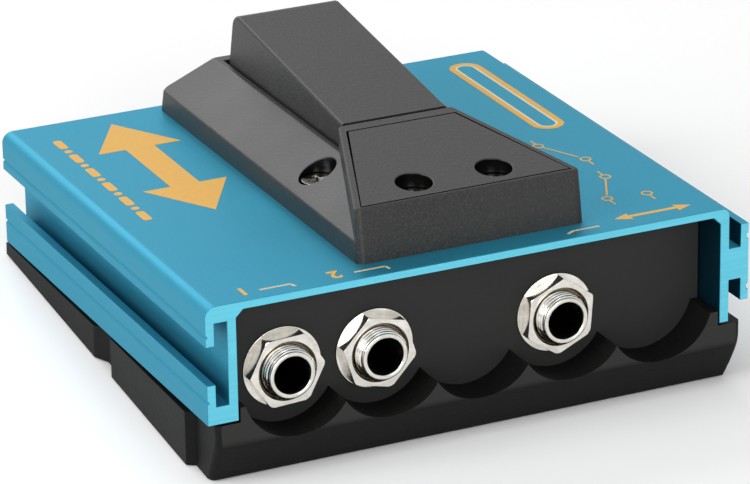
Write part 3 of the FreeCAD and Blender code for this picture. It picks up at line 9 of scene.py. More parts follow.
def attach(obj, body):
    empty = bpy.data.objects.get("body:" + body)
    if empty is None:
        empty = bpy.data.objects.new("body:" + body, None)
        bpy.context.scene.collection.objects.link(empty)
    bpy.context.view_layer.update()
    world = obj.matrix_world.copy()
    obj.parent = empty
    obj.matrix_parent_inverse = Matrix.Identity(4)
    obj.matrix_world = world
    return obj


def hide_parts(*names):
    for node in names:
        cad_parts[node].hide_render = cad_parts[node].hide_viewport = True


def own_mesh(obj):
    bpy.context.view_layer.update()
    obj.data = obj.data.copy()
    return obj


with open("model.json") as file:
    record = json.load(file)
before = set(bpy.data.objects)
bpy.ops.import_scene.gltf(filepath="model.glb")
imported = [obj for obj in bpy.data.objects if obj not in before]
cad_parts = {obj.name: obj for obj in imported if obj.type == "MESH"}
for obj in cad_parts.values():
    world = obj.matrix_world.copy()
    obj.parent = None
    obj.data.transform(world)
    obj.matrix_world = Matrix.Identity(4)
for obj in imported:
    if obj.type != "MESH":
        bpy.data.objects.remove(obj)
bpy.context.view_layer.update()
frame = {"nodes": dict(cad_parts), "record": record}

bl_info = {
    "name": "Foot switch box",
    "version": (1, 0, 0),
    "blender": (4, 5, 0),
    "location": "3D View > Sidebar > Switch box",
    "description": "Extruded foot switch box with a jack panel and a sprung treadle",
    "category": "Add Mesh",
}

# Places are written in millimetres in the shell's own frame: x across from the slotted side,
# y from the jack end, z up from the foot of the shell's walls. The base's wedge tips that frame.
MM = 0.001
BASE_TILT = math.radians(5.71)
SHELL_ORIGIN = Vector((-50.0, -46.51776, 12.0412))
SHELL_FRAME = Matrix.Translation(SHELL_ORIGIN) @ Matrix.Rotation(-BASE_TILT, 4, "X")
SHELL_TURN = SHELL_FRAME.to_3x3()

SHELL_HEIGHT = 20.7
PEDAL_MIDDLE = 50.6

# Places of the jacks across the panel, and distances along a bush from the shell's end
JACKS = {"jack_b": 16.25, "jack_a": 33.0, "jack_common": 66.5}
JACK_HEIGHT = 4.9
BUSH_FRONT = 2.3
BUSH_BACK = 11.2
BUSH_RADIUS = 4.5
BUSH_FLANGE = 4.9
BUSH_FLANGE_FRONT = 10.4
BORE_RADIUS = 3.25
NUT_COUNTERSINK = 5.1

COVER_SCREWS = ((43.225, 12.3), (57.975, 12.3))
COVER_BORE = 3.15
SIDE_SCREWS = ((34.925, 32.65), (66.275, 32.65))
SIDE_BORE = 3.2

# The hinge block narrows from its front to the treadle, under a sloping top
BLOCK_HALF = 20.925
BLOCK_FLAT = 6.5
BLOCK_FAR = 34.85
BLOCK_FLARE = 0.3607
TOP_SLOPE = 0.135

# The seam round the cover is looked for this far inside the block's sides, the start of its flare
# and its far end, and above this height
SEAM_IN_SIDE = 0.9
SEAM_IN_NEAR = 0.4
SEAM_IN_FAR = 0.6
SEAM_LOW = 27.0

# The drawn spring is 0.2 mm larger in radius than the CAD's, clear of the treadle's pressed peg
SPRING_Y = 47.0
SPRING_LOW = 22.35
SPRING_TOP = 32.53
SPRING_WIRE = 0.4
SPRING_MIDDLE_RADIUS = 3.5

# The camera as fitted to the photo, with its focal length and width in pixels
PHOTO_FOCAL = 4459.87
PHOTO_WIDTH = 750
CAMERA_PLACE = (-0.30145496, -0.62489143, 0.36539236)
CAMERA_TURN = (1.10206594, -0.02628213, -0.43821155)

# Points this near to each other, in metres, are one: in pieces made here and in CAD triangles
MERGE = 0.0005 * MM
CAD_MERGE = 0.002 * MM
CAD_FLAT = math.radians(0.3)

# A wall is found by its distance from the hole's radius and by how little it faces along the hole
WALL_OFF = 0.03
WALL_FACING = 0.85
SEAM_FACING = 0.3
RIM_OFF = 0.02
RIM_ABOVE_FLOOR = 0.3


# ---- selecting and shaping -------------------------------------------------------------------


def clear_selection():
    bpy.ops.object.select_all(action="DESELECT")


def take_up(piece):
    clear_selection()
    piece.select_set(True)
    bpy.context.view_layer.objects.active = piece


def open_mesh(piece):
    """Starts editing a piece with all of it selected."""
    take_up(piece)
    bpy.ops.object.mode_set(mode="EDIT")
    bpy.ops.mesh.select_all(action="SELECT")


def close_mesh():
    bpy.ops.object.mode_set(mode="OBJECT")


def start_choice(piece, kind):
    """Leaves a piece with nothing selected, ready for its points or edges to be chosen in code."""
    take_up(piece)
    bpy.ops.object.mode_set(mode="EDIT")
    bpy.ops.mesh.select_mode(type=kind)
    bpy.ops.mesh.select_all(action="DESELECT")
    close_mesh()


def weld(piece):
    """Merges points that coincide, and turns the faces outwards."""
    open_mesh(piece)
    bpy.ops.mesh.remove_doubles(threshold=MERGE)
    bpy.ops.mesh.normals_make_consistent(inside=False)
    close_mesh()


def apply_modifiers(piece):
    take_up(piece)
    for modifier in list(piece.modifiers):
        bpy.ops.object.modifier_apply(modifier=modifier.name)


def ease_edges(piece, width, segments=2, angle=40.0):
    """Rounds the edges sharper than an angle, by a width in metres."""
    bevel = piece.modifiers.new("eased edges", "BEVEL")
    bevel.width = width
    bevel.segments = segments
    bevel.limit_method = "ANGLE"
    bevel.angle_limit = math.radians(angle)
    bevel.use_clamp_overlap = True
    apply_modifiers(piece)


def smooth(piece, angle=32.0):
    """Smooth shading that leaves sharp edges sharp and large faces flat."""
    take_up(piece)
    bpy.ops.object.shade_smooth_by_angle(angle=math.radians(angle))
    flat = piece.modifiers.new("flat faces", "WEIGHTED_NORMAL")
    flat.keep_sharp = True
    flat.weight = 80
    apply_modifiers(piece)


def copy_of(node, name):
    """A copy of a CAD node with its triangles merged, that stands for the node from here on."""
    source = frame["nodes"][node]
    piece = bpy.data.objects.new(name, source.data.copy())
    piece.data.name = name
    bpy.context.scene.collection.objects.link(piece)
    open_mesh(piece)
    bpy.ops.mesh.remove_doubles(threshold=CAD_MERGE)
    bpy.ops.mesh.dissolve_limited(angle_limit=CAD_FLAT)
    close_mesh()
    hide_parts(node)
    return piece


def settle(piece, body, slot_name, *materials):
    """Gives a finished piece its finish, and fixes it to the body that it moves with."""
    piece.data.materials.clear()
    for material in materials:
        piece.data.materials.append(material)
    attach(piece, body)
    return piece


def into_row_frame(piece):
    """Moves a piece made in the shell's frame to its place, with its object at the origin."""
    turned = Matrix.Translation(SHELL_ORIGIN * MM) @ Matrix.Rotation(-BASE_TILT, 4, "X")
    bpy.context.view_layer.update()
    piece.matrix_world = turned @ piece.matrix_world
    bpy.context.view_layer.update()
    take_up(piece)
    bpy.ops.object.transform_apply(location=True, rotation=True, scale=True)


def spun_outline(name, outline, steps):
    """A closed outline of (radius, distance) points, in mm, spun round the y axis at the origin."""
    clear_selection()
    bpy.ops.mesh.primitive_circle_add(vertices=len(outline), radius=MM, location=(0.0, 0.0, 0.0))
    piece = bpy.context.object
    piece.name = piece.data.name = name
    for vertex, (radius, along) in zip(piece.data.vertices, outline):
        vertex.co = Vector((radius, along, 0.0)) * MM
    open_mesh(piece)
    bpy.ops.mesh.spin(steps=steps, angle=math.tau, center=(0.0, 0.0, 0.0), axis=(0.0, 1.0, 0.0))
    close_mesh()
    weld(piece)
    return piece


def flat_shape(outline, low, high, grow=0.0, band=0.0):
    """A closed flat piece with a polygon outline, in the shell's millimetres, between two heights.

    It can be grown all round, or left as a band of one width along its outline."""
    clear_selection()
    bpy.ops.mesh.primitive_circle_add(vertices=len(outline), radius=MM, fill_type="NGON",
                                      location=(0.0, 0.0, 0.0))
    piece = bpy.context.object
    for vertex, (x, y) in zip(piece.data.vertices, outline):
        vertex.co = Vector((x, y, low)) * MM
    open_mesh(piece)
    if grow:
        bpy.ops.mesh.inset(thickness=grow * MM, use_outset=True, use_even_offset=True)
    if band:
        bpy.ops.mesh.select_all(action="SELECT")
        bpy.ops.mesh.inset(thickness=band * MM, use_even_offset=True)
        bpy.ops.mesh.delete(type="FACE")
    bpy.ops.mesh.select_all(action="SELECT")
    rise = (0.0, 0.0, (high - low) * MM)
    bpy.ops.mesh.extrude_region_move(TRANSFORM_OT_translate={"value": rise})
    bpy.ops.mesh.select_all(action="SELECT")
    bpy.ops.mesh.normals_make_consistent(inside=False)
    close_mesh()
    return piece


def finish_hole_walls(piece, middles, axis, radius):
    """Gives the walls of round holes along one of the shell's axes the piece's second finish, a
    darker one that paints the shade inside the holes.
    """
    back = SHELL_FRAME.inverted()
    turn_back = SHELL_TURN.inverted()
    across = [step for step in range(3) if step != axis]
    for face in piece.data.polygons:
        middle = back @ (face.center / MM)
        normal = turn_back @ face.normal
        near = min(math.hypot(middle[across[0]] - spot[0], middle[across[1]] - spot[1])
                   for spot in middles)
        if near < radius + WALL_OFF and abs(normal[axis]) < WALL_FACING:
            face.material_index = 1


def finish_seam_walls(piece):
    """Gives the upright walls of the seam round the hinge cover the piece's second finish, near
    black, as painted shade in the seam.
    """
    back = SHELL_FRAME.inverted()
    turn_back = SHELL_TURN.inverted()
    for face in piece.data.polygons:
        middle = back @ (face.center / MM)
        upright = abs((turn_back @ face.normal).z) < SEAM_FACING
        half = BLOCK_HALF - max(0.0, middle.y - BLOCK_FLAT) * BLOCK_FLARE
        within_sides = abs(middle.x - PEDAL_MIDDLE) < half - SEAM_IN_SIDE
        within_ends = BLOCK_FLAT + SEAM_IN_NEAR < middle.y < BLOCK_FAR - SEAM_IN_FAR
        high = middle.z > SEAM_LOW + middle.y * TOP_SLOPE
        if upright and within_sides and within_ends and high:
            face.material_index = 1


def ease_rims(piece, middles, radius, width):
    """Rounds the upper rims of round holes that run along the shell's z axis."""
    back = SHELL_FRAME.inverted()
    places = [back @ (vertex.co / MM) for vertex in piece.data.vertices]
    off_axis = [min(math.hypot(place.x - x, place.y - y) for x, y in middles) for place in places]
    at_wall = [abs(distance - radius) < RIM_OFF for distance in off_axis]
    low = min(place.z for place, found in zip(places, at_wall) if found)
    at_rim = [found and place.z > low + RIM_ABOVE_FLOOR for place, found in zip(places, at_wall)]
    start_choice(piece, "EDGE")
    for edge in piece.data.edges:
        edge.select = at_rim[edge.vertices[0]] and at_rim[edge.vertices[1]]
    bpy.ops.object.mode_set(mode="EDIT")
    bpy.ops.mesh.bevel(offset=width * MM, segments=3, affect="EDGES")
    close_mesh()


def joined(pieces, name):
    clear_selection()
    for piece in pieces:
        piece.select_set(True)
    bpy.context.view_layer.objects.active = pieces[0]
    bpy.ops.object.join()
    pieces[0].name = pieces[0].data.name = name
    return pieces[0]


# ---- materials -------------------------------------------------------------------------------


class Finish:
    """A material under construction, with short ways to add and join nodes."""

    def __init__(self, name):
        self.material = bpy.data.materials.new(name)
        self.material.use_nodes = True
        self.tree = self.material.node_tree
        self.shader = self.tree.nodes["Principled BSDF"]
        self.place = self.tree.nodes.new("ShaderNodeTexCoord")

    def node(self, kind, **values):
        made = self.tree.nodes.new(kind)
        for key, value in values.items():
            if key in made.inputs.keys():
                made.inputs[key].default_value = value
            else:
                setattr(made, key, value)
        return made

    def link(self, source, target):
        self.tree.links.new(source, target)

    def scaled(self, scale):
        """Object coordinates with a scale for each axis."""
        mapping = self.node("ShaderNodeMapping")
        mapping.inputs["Scale"].default_value = scale
        self.link(self.place.outputs["Object"], mapping.inputs["Vector"])
        return mapping.outputs["Vector"]

    def noise(self, scale, detail=4.0, roughness=0.55, stretch=(1.0, 1.0, 1.0)):
        made = self.node("ShaderNodeTexNoise", Scale=scale, Detail=detail, Roughness=roughness)
        self.link(self.scaled(stretch), made.inputs["Vector"])
        return made.outputs["Fac"]

    def pits(self, scale):
        """Rounded cells, as a sparked mould leaves them."""
        made = self.node("ShaderNodeTexVoronoi", feature="SMOOTH_F1", Scale=scale)
        self.link(self.place.outputs["Object"], made.inputs["Vector"])
        return made.outputs["Distance"]

    def maths(self, operation, first, second):
        made = self.node("ShaderNodeMath", operation=operation)
        self.link(first, made.inputs[0])
        self.link(second, made.inputs[1])
        return made.outputs["Value"]

    def grey_ramp(self, source, low, high, start=0.3, end=0.7):
        """Goes from one grey to another as the source goes from start to end."""
        made = self.node("ShaderNodeValToRGB")
        for element, spot, grey in zip(made.color_ramp.elements, (start, end), (low, high)):
            element.position = spot
            element.color = (grey, grey, grey, 1.0)
        self.link(source, made.inputs["Fac"])
        return made.outputs["Color"]

    def mix(self, amount, first, second):
        """Blends two colours, each a tuple or another node's output."""
        made = self.node("ShaderNodeMix", data_type="RGBA")
        colours = [item for item in made.inputs if item.type == "RGBA"]
        for target, value in zip(colours, (first, second)):
            if isinstance(value, tuple):
                target.default_value = (*value, 1.0)
            else:
                self.link(value, target)
        self.link(amount, made.inputs[0])
        return [item for item in made.outputs if item.type == "RGBA"][0]

    def facing(self, direction, start, end):
        """1 on faces that look in a direction of the shell's own axes, and 0 on the others."""
        dot = self.node("ShaderNodeVectorMath", operation="DOT_PRODUCT")
        self.link(self.place.outputs["Normal"], dot.inputs[0])
        dot.inputs[1].default_value = SHELL_TURN @ Vector(direction)
        return self.grey_ramp(dot.outputs["Value"], 0.0, 1.0, start, end)

    def beyond(self, axis, edge, soft=0.0004):
        """0 below a place along an axis of the row frame, in metres, and 1 beyond it."""
        split = self.node("ShaderNodeSeparateXYZ")
        self.link(self.place.outputs["Object"], split.inputs["Vector"])
        step = self.node("ShaderNodeMapRange")
        step.inputs["From Min"].default_value = edge - soft
        step.inputs["From Max"].default_value = edge + soft
        self.link(split.outputs[axis], step.inputs["Value"])
        return step.outputs["Result"]

    def bump(self, height, distance, strength=0.6, under=None):
        made = self.node("ShaderNodeBump", Strength=strength, Distance=distance)
        self.link(height, made.inputs["Height"])
        if under is not None:
            self.link(under, made.inputs["Normal"])
        return made.outputs["Normal"]

    def finish(self, colour=None, roughness=None, normal=None, **fixed):
        for socket, value in (("Base Color", colour), ("Roughness", roughness), ("Normal", normal)):
            if value is not None:
                self.link(value, self.shader.inputs[socket])
        for key, value in fixed.items():
            self.shader.inputs[key.replace("_", " ")].default_value = value
        return self.material


def shade(colour, amount):
    return tuple(min(1.0, part * amount) for part in colour)


def anodised(name, colour, cut_colour, inner_shade_colour):
    """Blasted and dyed extrusion with drawing lines along it, brighter sawn ends, and painted shade
    on the inner face of the wall at the rail's side.
    """
    look = Finish(name)
    cloud = look.noise(22.0, 3.0)
    face = look.mix(look.grey_ramp(cloud, 0.0, 1.0), shade(colour, 0.93), colour)
    grit = look.noise(3800.0, 2.0, 0.6)
    face = look.mix(look.grey_ramp(grit, 0.0, 0.35, 0.35, 0.75), face, shade(colour, 1.35))
    lines = look.noise(60.0, 6.0, 0.7, (46.0, 0.25, 46.0))
    face = look.mix(look.grey_ramp(lines, 0.0, 0.16), face, shade(colour, 1.3))
    # Painted shade: the inner face of the wall at the rail's side is darkened for the shade that
    # falls on it inside the shell
    inner_shade = look.maths("MULTIPLY", look.facing((-1.0, 0.0, 0.0), 0.90, 0.97),
                       look.beyond("X", 0.040))
    face = look.mix(inner_shade, face, inner_shade_colour)
    ends = look.maths("MAXIMUM", look.facing((0.0, -1.0, 0.0), 0.90, 0.97),
                      look.facing((0.0, 1.0, 0.0), 0.90, 0.97))
    saw = look.noise(55.0, 5.0, 0.7, (0.4, 1.0, 34.0))
    sawn = look.mix(look.grey_ramp(saw, 0.0, 1.0), shade(cut_colour, 0.88), cut_colour)
    face = look.mix(ends, face, sawn)
    grain = look.bump(grit, 0.00002, 0.35)
    drawn = look.bump(lines, 0.00002, 0.2, grain)
    rough = look.mix(ends, look.grey_ramp(cloud, 0.42, 0.50), look.grey_ramp(saw, 0.34, 0.46))
    return look.finish(face, rough, drawn, Metallic=0.6, Specular_IOR_Level=0.2,
                       Specular_Tint=(0.62, 0.92, 1.0, 1.0))


def moulded(name, colour, roughness, level, grain=0.00006, cell=2600.0, glint=2.2, front=None):
    """Sparked moulding: fine pits, a few lighter grains, and slightly rubbed patches.

    The upright faces at the jack end can have a tone of their own, painted light: a lighter copy of
    the same plastic."""
    look = Finish(name)
    cloud = look.noise(30.0, 4.0)
    grit = look.noise(cell, 3.0, 0.62)
    tone = look.mix(look.grey_ramp(cloud, 0.0, 1.0), shade(colour, 0.85), shade(colour, 1.15))
    tone = look.mix(look.grey_ramp(grit, 0.0, 0.7, 0.52, 0.66), tone, shade(colour, glint))
    tone = look.mix(look.grey_ramp(grit, 0.6, 0.0, 0.30, 0.46), tone, shade(colour, 0.35))
    # Painted light: upright faces toward the jack end take their own tone
    if front:
        tone = look.mix(look.facing((0.0, -1.0, 0.0), 0.94, 0.985), tone, front)
    rough = look.maths("ADD", look.grey_ramp(cloud, roughness[0], roughness[1]),
                       look.grey_ramp(grit, -0.04, 0.06))
    pits = look.bump(look.pits(cell * 0.8), grain, 0.5)
    fine = look.bump(grit, grain * 0.6, 0.5, pits)
    return look.finish(tone, rough, fine, Specular_IOR_Level=level)


def rubber(name, colour):
    """Matt rubber with a close grip pattern of low round pips and dust in the hollows."""
    look = Finish(name)
    cloud = look.noise(40.0, 4.0)
    pips = look.node("ShaderNodeTexVoronoi", feature="F1", Scale=900.0, Randomness=0.0)
    look.link(look.place.outputs["Object"], pips.inputs["Vector"])
    round_pips = look.grey_ramp(pips.outputs["Distance"], 1.0, 0.0, 0.15, 0.45)
    tone = look.mix(look.grey_ramp(cloud, 0.0, 1.0), shade(colour, 0.8), shade(colour, 1.3))
    tone = look.mix(round_pips, shade(colour, 1.9), tone)
    return look.finish(tone, look.grey_ramp(cloud, 0.72, 0.88), look.bump(round_pips, 0.00015, 0.8),
                       Specular_IOR_Level=0.3)


def plated(name, colour, roughness, dark=0.55):
    """Plated metal with faint turning marks and cloudy handling marks."""
    look = Finish(name)
    marks = look.noise(420.0, 6.0, 0.7, (1.0, 9.0, 1.0))
    cloud = look.noise(260.0, 3.0)
    tone = look.mix(look.grey_ramp(marks, 0.0, 0.7), colour, shade(colour, dark))
    tone = look.mix(look.grey_ramp(cloud, 0.0, 0.5, 0.45, 0.65), tone, shade(colour, 0.72))
    rough = look.grey_ramp(cloud, roughness[0], roughness[1])
    return look.finish(tone, rough, look.bump(marks, 0.00003, 0.25), Metallic=1.0)


def smooth_moulding(name, colour):
    """Moulding against a polished core pin, with faint release marks along it."""
    look = Finish(name)
    marks = look.noise(700.0, 3.0, 0.6, (1.0, 1.0, 0.2))
    tone = look.mix(look.grey_ramp(marks, 0.0, 1.0), shade(colour, 0.8), shade(colour, 1.2))
    return look.finish(tone, look.grey_ramp(marks, 0.16, 0.26), look.bump(marks, 0.00002, 0.2),
                       Specular_IOR_Level=0.22)


def threaded(name, crest, valley_shade):
    """Plated thread: bright on the crests, and dark brown in the grooves as painted shade."""
    look = Finish(name)
    groove = look.node("ShaderNodeAttribute", attribute_name="groove")
    cloud = look.noise(700.0, 3.0)
    worn = look.mix(look.grey_ramp(cloud, 0.0, 1.0), shade(crest, 0.65), crest)
    tone = look.mix(look.grey_ramp(groove.outputs["Fac"], 0.0, 1.0, 0.15, 0.75), worn, valley_shade)
    return look.finish(tone, look.grey_ramp(cloud, 0.14, 0.30), None, Metallic=1.0)


def printed(name, colour):
    """Screen print: a slightly uneven film with a soft gloss."""
    look = Finish(name)
    cloud = look.noise(1500.0, 3.0)
    tone = look.mix(look.grey_ramp(cloud, 0.0, 1.0), shade(colour, 0.90), colour)
    return look.finish(tone, look.grey_ramp(cloud, 0.45, 0.6), look.bump(cloud, 0.00002, 0.3),
                       Specular_IOR_Level=0.3)


def circuit_green(name):
    """Solder mask over a woven board, with the copper tracks showing through a little lighter."""
    look = Finish(name)
    weave = look.noise(1400.0, 2.0)
    tracks = look.noise(120.0, 1.0, 0.5, (1.0, 3.0, 1.0))
    tone = look.mix(look.grey_ramp(weave, 0.0, 1.0), (0.012, 0.085, 0.035), (0.02, 0.13, 0.055))
    tone = look.mix(look.grey_ramp(tracks, 0.0, 0.6, 0.52, 0.56), tone, (0.035, 0.20, 0.085))
    return look.finish(tone, look.grey_ramp(weave, 0.28, 0.4), look.bump(tracks, 0.00003, 0.3))


def settings():
    scene = bpy.context.scene
    return scene.switch_box_sizes, scene.switch_box_colours


FINISHES = {}


def finish_of(name):
    """One of the box's finishes, made when it is first asked for."""
    if name not in FINISHES:
        colours = settings()[1]
        makers = {
            "blue_anodised": lambda: anodised("blue anodising", tuple(colours.shell),
                                              tuple(colours.sawn_end),
                                              tuple(colours.shell_inside_shade)),
            "black_plastic": lambda: moulded("housing moulding", tuple(colours.plastic),
                                             (0.36, 0.46), 0.34),
            # The base is darkened partly as painted shade, and its jack-end faces take a lighter
            # painted tone
            "base_plastic": lambda: moulded("base moulding", tuple(colours.base), (0.46, 0.58),
                                            0.12, front=tuple(colours.panel)),
            # Painted shade: walls of screw holes and of the seam, near black beside the housing's
            # plastic
            "smooth_plastic": lambda: smooth_moulding("screw hole walls", (0.003, 0.003, 0.003)),
            "black_rubber": lambda: rubber("sole rubber", (0.014, 0.014, 0.014)),
            "nickel": lambda: plated("nickel plate", (0.88, 0.85, 0.79), (0.07, 0.18)),
            # Painted shade in the thread's grooves
            "thread": lambda: threaded("bush thread", (0.70, 0.64, 0.54), (0.10, 0.075, 0.045)),
            # Painted shade: darker brown nickel for the nuts' countersinks
            "shaded_nickel": lambda: plated("countersink", (0.34, 0.28, 0.20), (0.2, 0.32)),
            # Painted shade: dark nickel for the inside of the bores
            "bore": lambda: plated("bore of the bush", (0.10, 0.09, 0.08), (0.3, 0.45)),
            "plain_steel": lambda: plated("zinc plate", (0.62, 0.63, 0.65), (0.25, 0.4)),
            "black_steel": lambda: plated("black oxide", (0.46, 0.44, 0.40), (0.12, 0.24), 0.3),
            "contact_brass": lambda: plated("contact brass", (0.78, 0.58, 0.28), (0.2, 0.35)),
            "board_green": lambda: circuit_green("solder mask"),
            "jack_plastic": lambda: moulded("jack moulding", (0.014, 0.014, 0.015), (0.4, 0.5),
                                            0.4),
            "switch_blue": lambda: moulded("switch moulding", (0.024, 0.07, 0.25), (0.35, 0.45),
                                           0.5),
            "lead_cover": lambda: moulded("lead cover", (0.46, 0.035, 0.025), (0.3, 0.4), 0.5,
                                          0.00002, 900.0, 1.1),
            "print_orange": lambda: printed("orange print", tuple(colours.mark)),
            "print_cream": lambda: printed("cream print", tuple(colours.mark_edge)),
        }
        FINISHES[name] = makers[name]()
    return FINISHES[name]


# ---- settings --------------------------------------------------------------------------------


class SwitchBoxSizes(bpy.types.PropertyGroup):
    shell_edge: FloatProperty(name="Shell edge", description="Rounding of the shell's edges",
                              default=0.00007, min=0.00002, max=0.0005, precision=5, unit="LENGTH")
    base_edge: FloatProperty(name="Base edge", description="Rounding of the base's edges",
                             default=0.00015, min=0.00005, max=0.0008, precision=5, unit="LENGTH")
    housing_edge: FloatProperty(name="Housing edge", description="Rounding of the housing's edges",
                                default=0.00013, min=0.00005, max=0.0008,
                                precision=5, unit="LENGTH")
    metal_edge: FloatProperty(name="Metal edge", description="Rounding of nuts, washers and screws",
                              default=0.00009, min=0.00002, max=0.0003, precision=5, unit="LENGTH")
    print_height: FloatProperty(name="Print height", description="Thickness of the printed marks",
                                default=0.00003, min=0.00001, max=0.0001,
                                precision=5, unit="LENGTH")
    thread_pitch: FloatProperty(name="Thread pitch", description="Pitch of the jack bushes' thread",
                                default=0.00075, min=0.0004, max=0.0015, precision=5, unit="LENGTH")
    thread_depth: FloatProperty(name="Thread depth", description="Depth of the jack bushes' thread",
                                default=0.0003, min=0.0001, max=0.0005, precision=5, unit="LENGTH")
    spring_turns: FloatProperty(name="Spring turns", description="Turns of the return spring",
                                default=5.5, min=3.5, max=9.5)
    wire_sides: IntProperty(name="Wire sides", description="Sides round the spring's wire",
                            default=12, min=6, max=24)


class SwitchBoxColours(bpy.types.PropertyGroup):
    shell: FloatVectorProperty(name="Shell", description="Anodised faces", subtype="COLOR",
                               default=(0.030, 0.232, 0.345))
    sawn_end: FloatVectorProperty(name="Sawn ends", description="Sawn ends of the shell",
                                  subtype="COLOR", default=(0.137, 0.58, 0.735))
    # Painted shade for the inner face of the wall at the rail's side
    shell_inside_shade: FloatVectorProperty(name="Inside of the shell",
                                      description="Inner face of the wall at the rail's side",
                                      subtype="COLOR", default=(0.004, 0.03, 0.05))
    plastic: FloatVectorProperty(name="Housing plastic", description="Housing, cover and treadle",
                                 subtype="COLOR", default=(0.0170, 0.0178, 0.0167))
    # Base plastic: a blacker plastic, darkened further as painted shade
    base: FloatVectorProperty(name="Base plastic", description="Base, apart from the jack panel",
                              subtype="COLOR", default=(0.0041, 0.0045, 0.0039))
    # Painted light: the base plastic in a lighter tone for the upright faces at the jack end
    panel: FloatVectorProperty(name="Jack panel", description="Upright face of the jack panel",
                               subtype="COLOR", default=(0.0260, 0.0271, 0.0253))
    mark: FloatVectorProperty(name="Mark", description="Printed marks", subtype="COLOR",
                              default=(0.72, 0.40, 0.075))
    mark_edge: FloatVectorProperty(name="Mark edge", description="Outline of the printed marks",
                                   subtype="COLOR", default=(0.70, 0.66, 0.48))


# ---- operators -------------------------------------------------------------------------------


class SWITCHBOX_OT_stage(bpy.types.Operator):
    """Sets the floor, the lamps, the pale background and the camera."""

    bl_idname = "switchbox.stage"
    bl_label = "Stage"

    # Name, place, side in metres and power in watts of each square lamp
    lamps = (("rear lamp", (-0.15, 1.3, 0.95), 1.1, 10.0),
             ("top lamp", (-0.05, -0.05, 1.4), 1.0, 3.3),
             ("left lamp", (-1.1, -0.1, 0.6), 0.7, 9.6),
             ("front lamp", (-0.2, -1.2, 0.5), 0.8, 7.4))
    room_light = 0.34
    sensor_width = 36.0
    camera_reach = (0.05, 20.0)

    def execute(self, context):
        scene = context.scene
        scene.view_settings.view_transform = "Standard"
        clear_selection()
        bpy.ops.mesh.primitive_plane_add(size=6.0, location=(0.0, 0.0, 0.0))
        floor = context.object
        floor.name = "floor"
        look = Finish("pale floor")
        grain = look.noise(3.0, 3.0)
        tone = look.mix(look.grey_ramp(grain, 0.0, 1.0), (0.96, 0.96, 0.96), (0.98, 0.98, 0.98))
        floor.data.materials.append(look.finish(tone, Roughness=0.9, Specular_IOR_Level=0.1))
        for lamp in self.lamps:
            self.add_lamp(*lamp)
        self.set_world(scene)
        self.set_camera(scene)
        return {"FINISHED"}

    def add_lamp(self, name, spot, size, power):
        light = bpy.data.lights.new(name, "AREA")
        light.shape = "SQUARE"
        light.size = size
        light.energy = power
        lamp = bpy.data.objects.new(name, light)
        lamp.location = spot
        lamp.rotation_euler = (-Vector(spot)).to_track_quat("-Z", "Y").to_euler()
        bpy.context.scene.collection.objects.link(lamp)

    def set_world(self, scene):
        """A white background for the camera, metal and glass, and a dimmer one as light."""
        world = bpy.data.worlds.new("soft studio")
        world.use_nodes = True
        scene.world = world
        tree = world.node_tree
        back = tree.nodes["Background"]
        rays = tree.nodes.new("ShaderNodeLightPath")
        seen = rays.outputs["Is Camera Ray"]
        for kind in ("Is Glossy Ray", "Is Transmission Ray"):
            either = tree.nodes.new("ShaderNodeMath")
            either.operation = "MAXIMUM"
            tree.links.new(seen, either.inputs[0])
            tree.links.new(rays.outputs[kind], either.inputs[1])
            seen = either.outputs["Value"]
        strength = tree.nodes.new("ShaderNodeMapRange")
        strength.inputs["To Min"].default_value = self.room_light
        strength.inputs["To Max"].default_value = 1.0
        tree.links.new(seen, strength.inputs["Value"])
        back.inputs["Color"].default_value = (1.0, 1.0, 1.0, 1.0)
        tree.links.new(strength.outputs["Result"], back.inputs["Strength"])

    def set_camera(self, scene):
        view = bpy.data.cameras.new("photo camera")
        view.sensor_width = self.sensor_width
        view.lens = PHOTO_FOCAL * view.sensor_width / PHOTO_WIDTH
        view.clip_start, view.clip_end = self.camera_reach
        camera = bpy.data.objects.new("photo camera", view)
        camera.location = CAMERA_PLACE
        camera.rotation_euler = CAMERA_TURN
        scene.collection.objects.link(camera)
        scene.camera = camera


class SWITCHBOX_OT_shell(bpy.types.Operator):
    """Makes the anodised shell with eased edges."""

    bl_idname = "switchbox.shell"
    bl_label = "Shell"

    def execute(self, context):
        shell = copy_of("top_shell", "anodised_shell")
        ease_edges(shell, settings()[0].shell_edge, segments=1, angle=35.0)
        smooth(shell)
        settle(shell, "case", "blue_anodised", finish_of("blue_anodised"))
        return {"FINISHED"}


class SWITCHBOX_OT_mouldings(bpy.types.Operator):
    """Makes the base, the housing, the hinge cover and the treadle with moulded edges."""

    bl_idname = "switchbox.mouldings"
    bl_label = "Mouldings"

    rim_width = 0.22

    def execute(self, context):
        sizes = settings()[0]
        for node, name, body, edge, finish, screws in (
            ("base_tray", "moulded_base", "case", sizes.base_edge, "base_plastic", None),
            ("pedal_housing", "moulded_housing", "case", sizes.housing_edge, "black_plastic",
             (SIDE_SCREWS, SIDE_BORE)),
            ("hinge_cover", "moulded_cover", "case", sizes.housing_edge, "black_plastic",
             (COVER_SCREWS, COVER_BORE)),
            ("treadle", "moulded_treadle", "treadle", sizes.housing_edge, "black_plastic", None),
        ):
            piece = copy_of(node, name)
            if screws:
                ease_rims(piece, *screws, self.rim_width)
            ease_edges(piece, edge)
            smooth(piece)
            settle(piece, body, "black_plastic", finish_of(finish))
            if screws:
                # Hole walls and seam walls take a near-black second finish, painted shade
                piece.data.materials.append(finish_of("smooth_plastic"))
                finish_hole_walls(piece, screws[0], 2, screws[1])
                finish_seam_walls(piece)
        return {"FINISHED"}


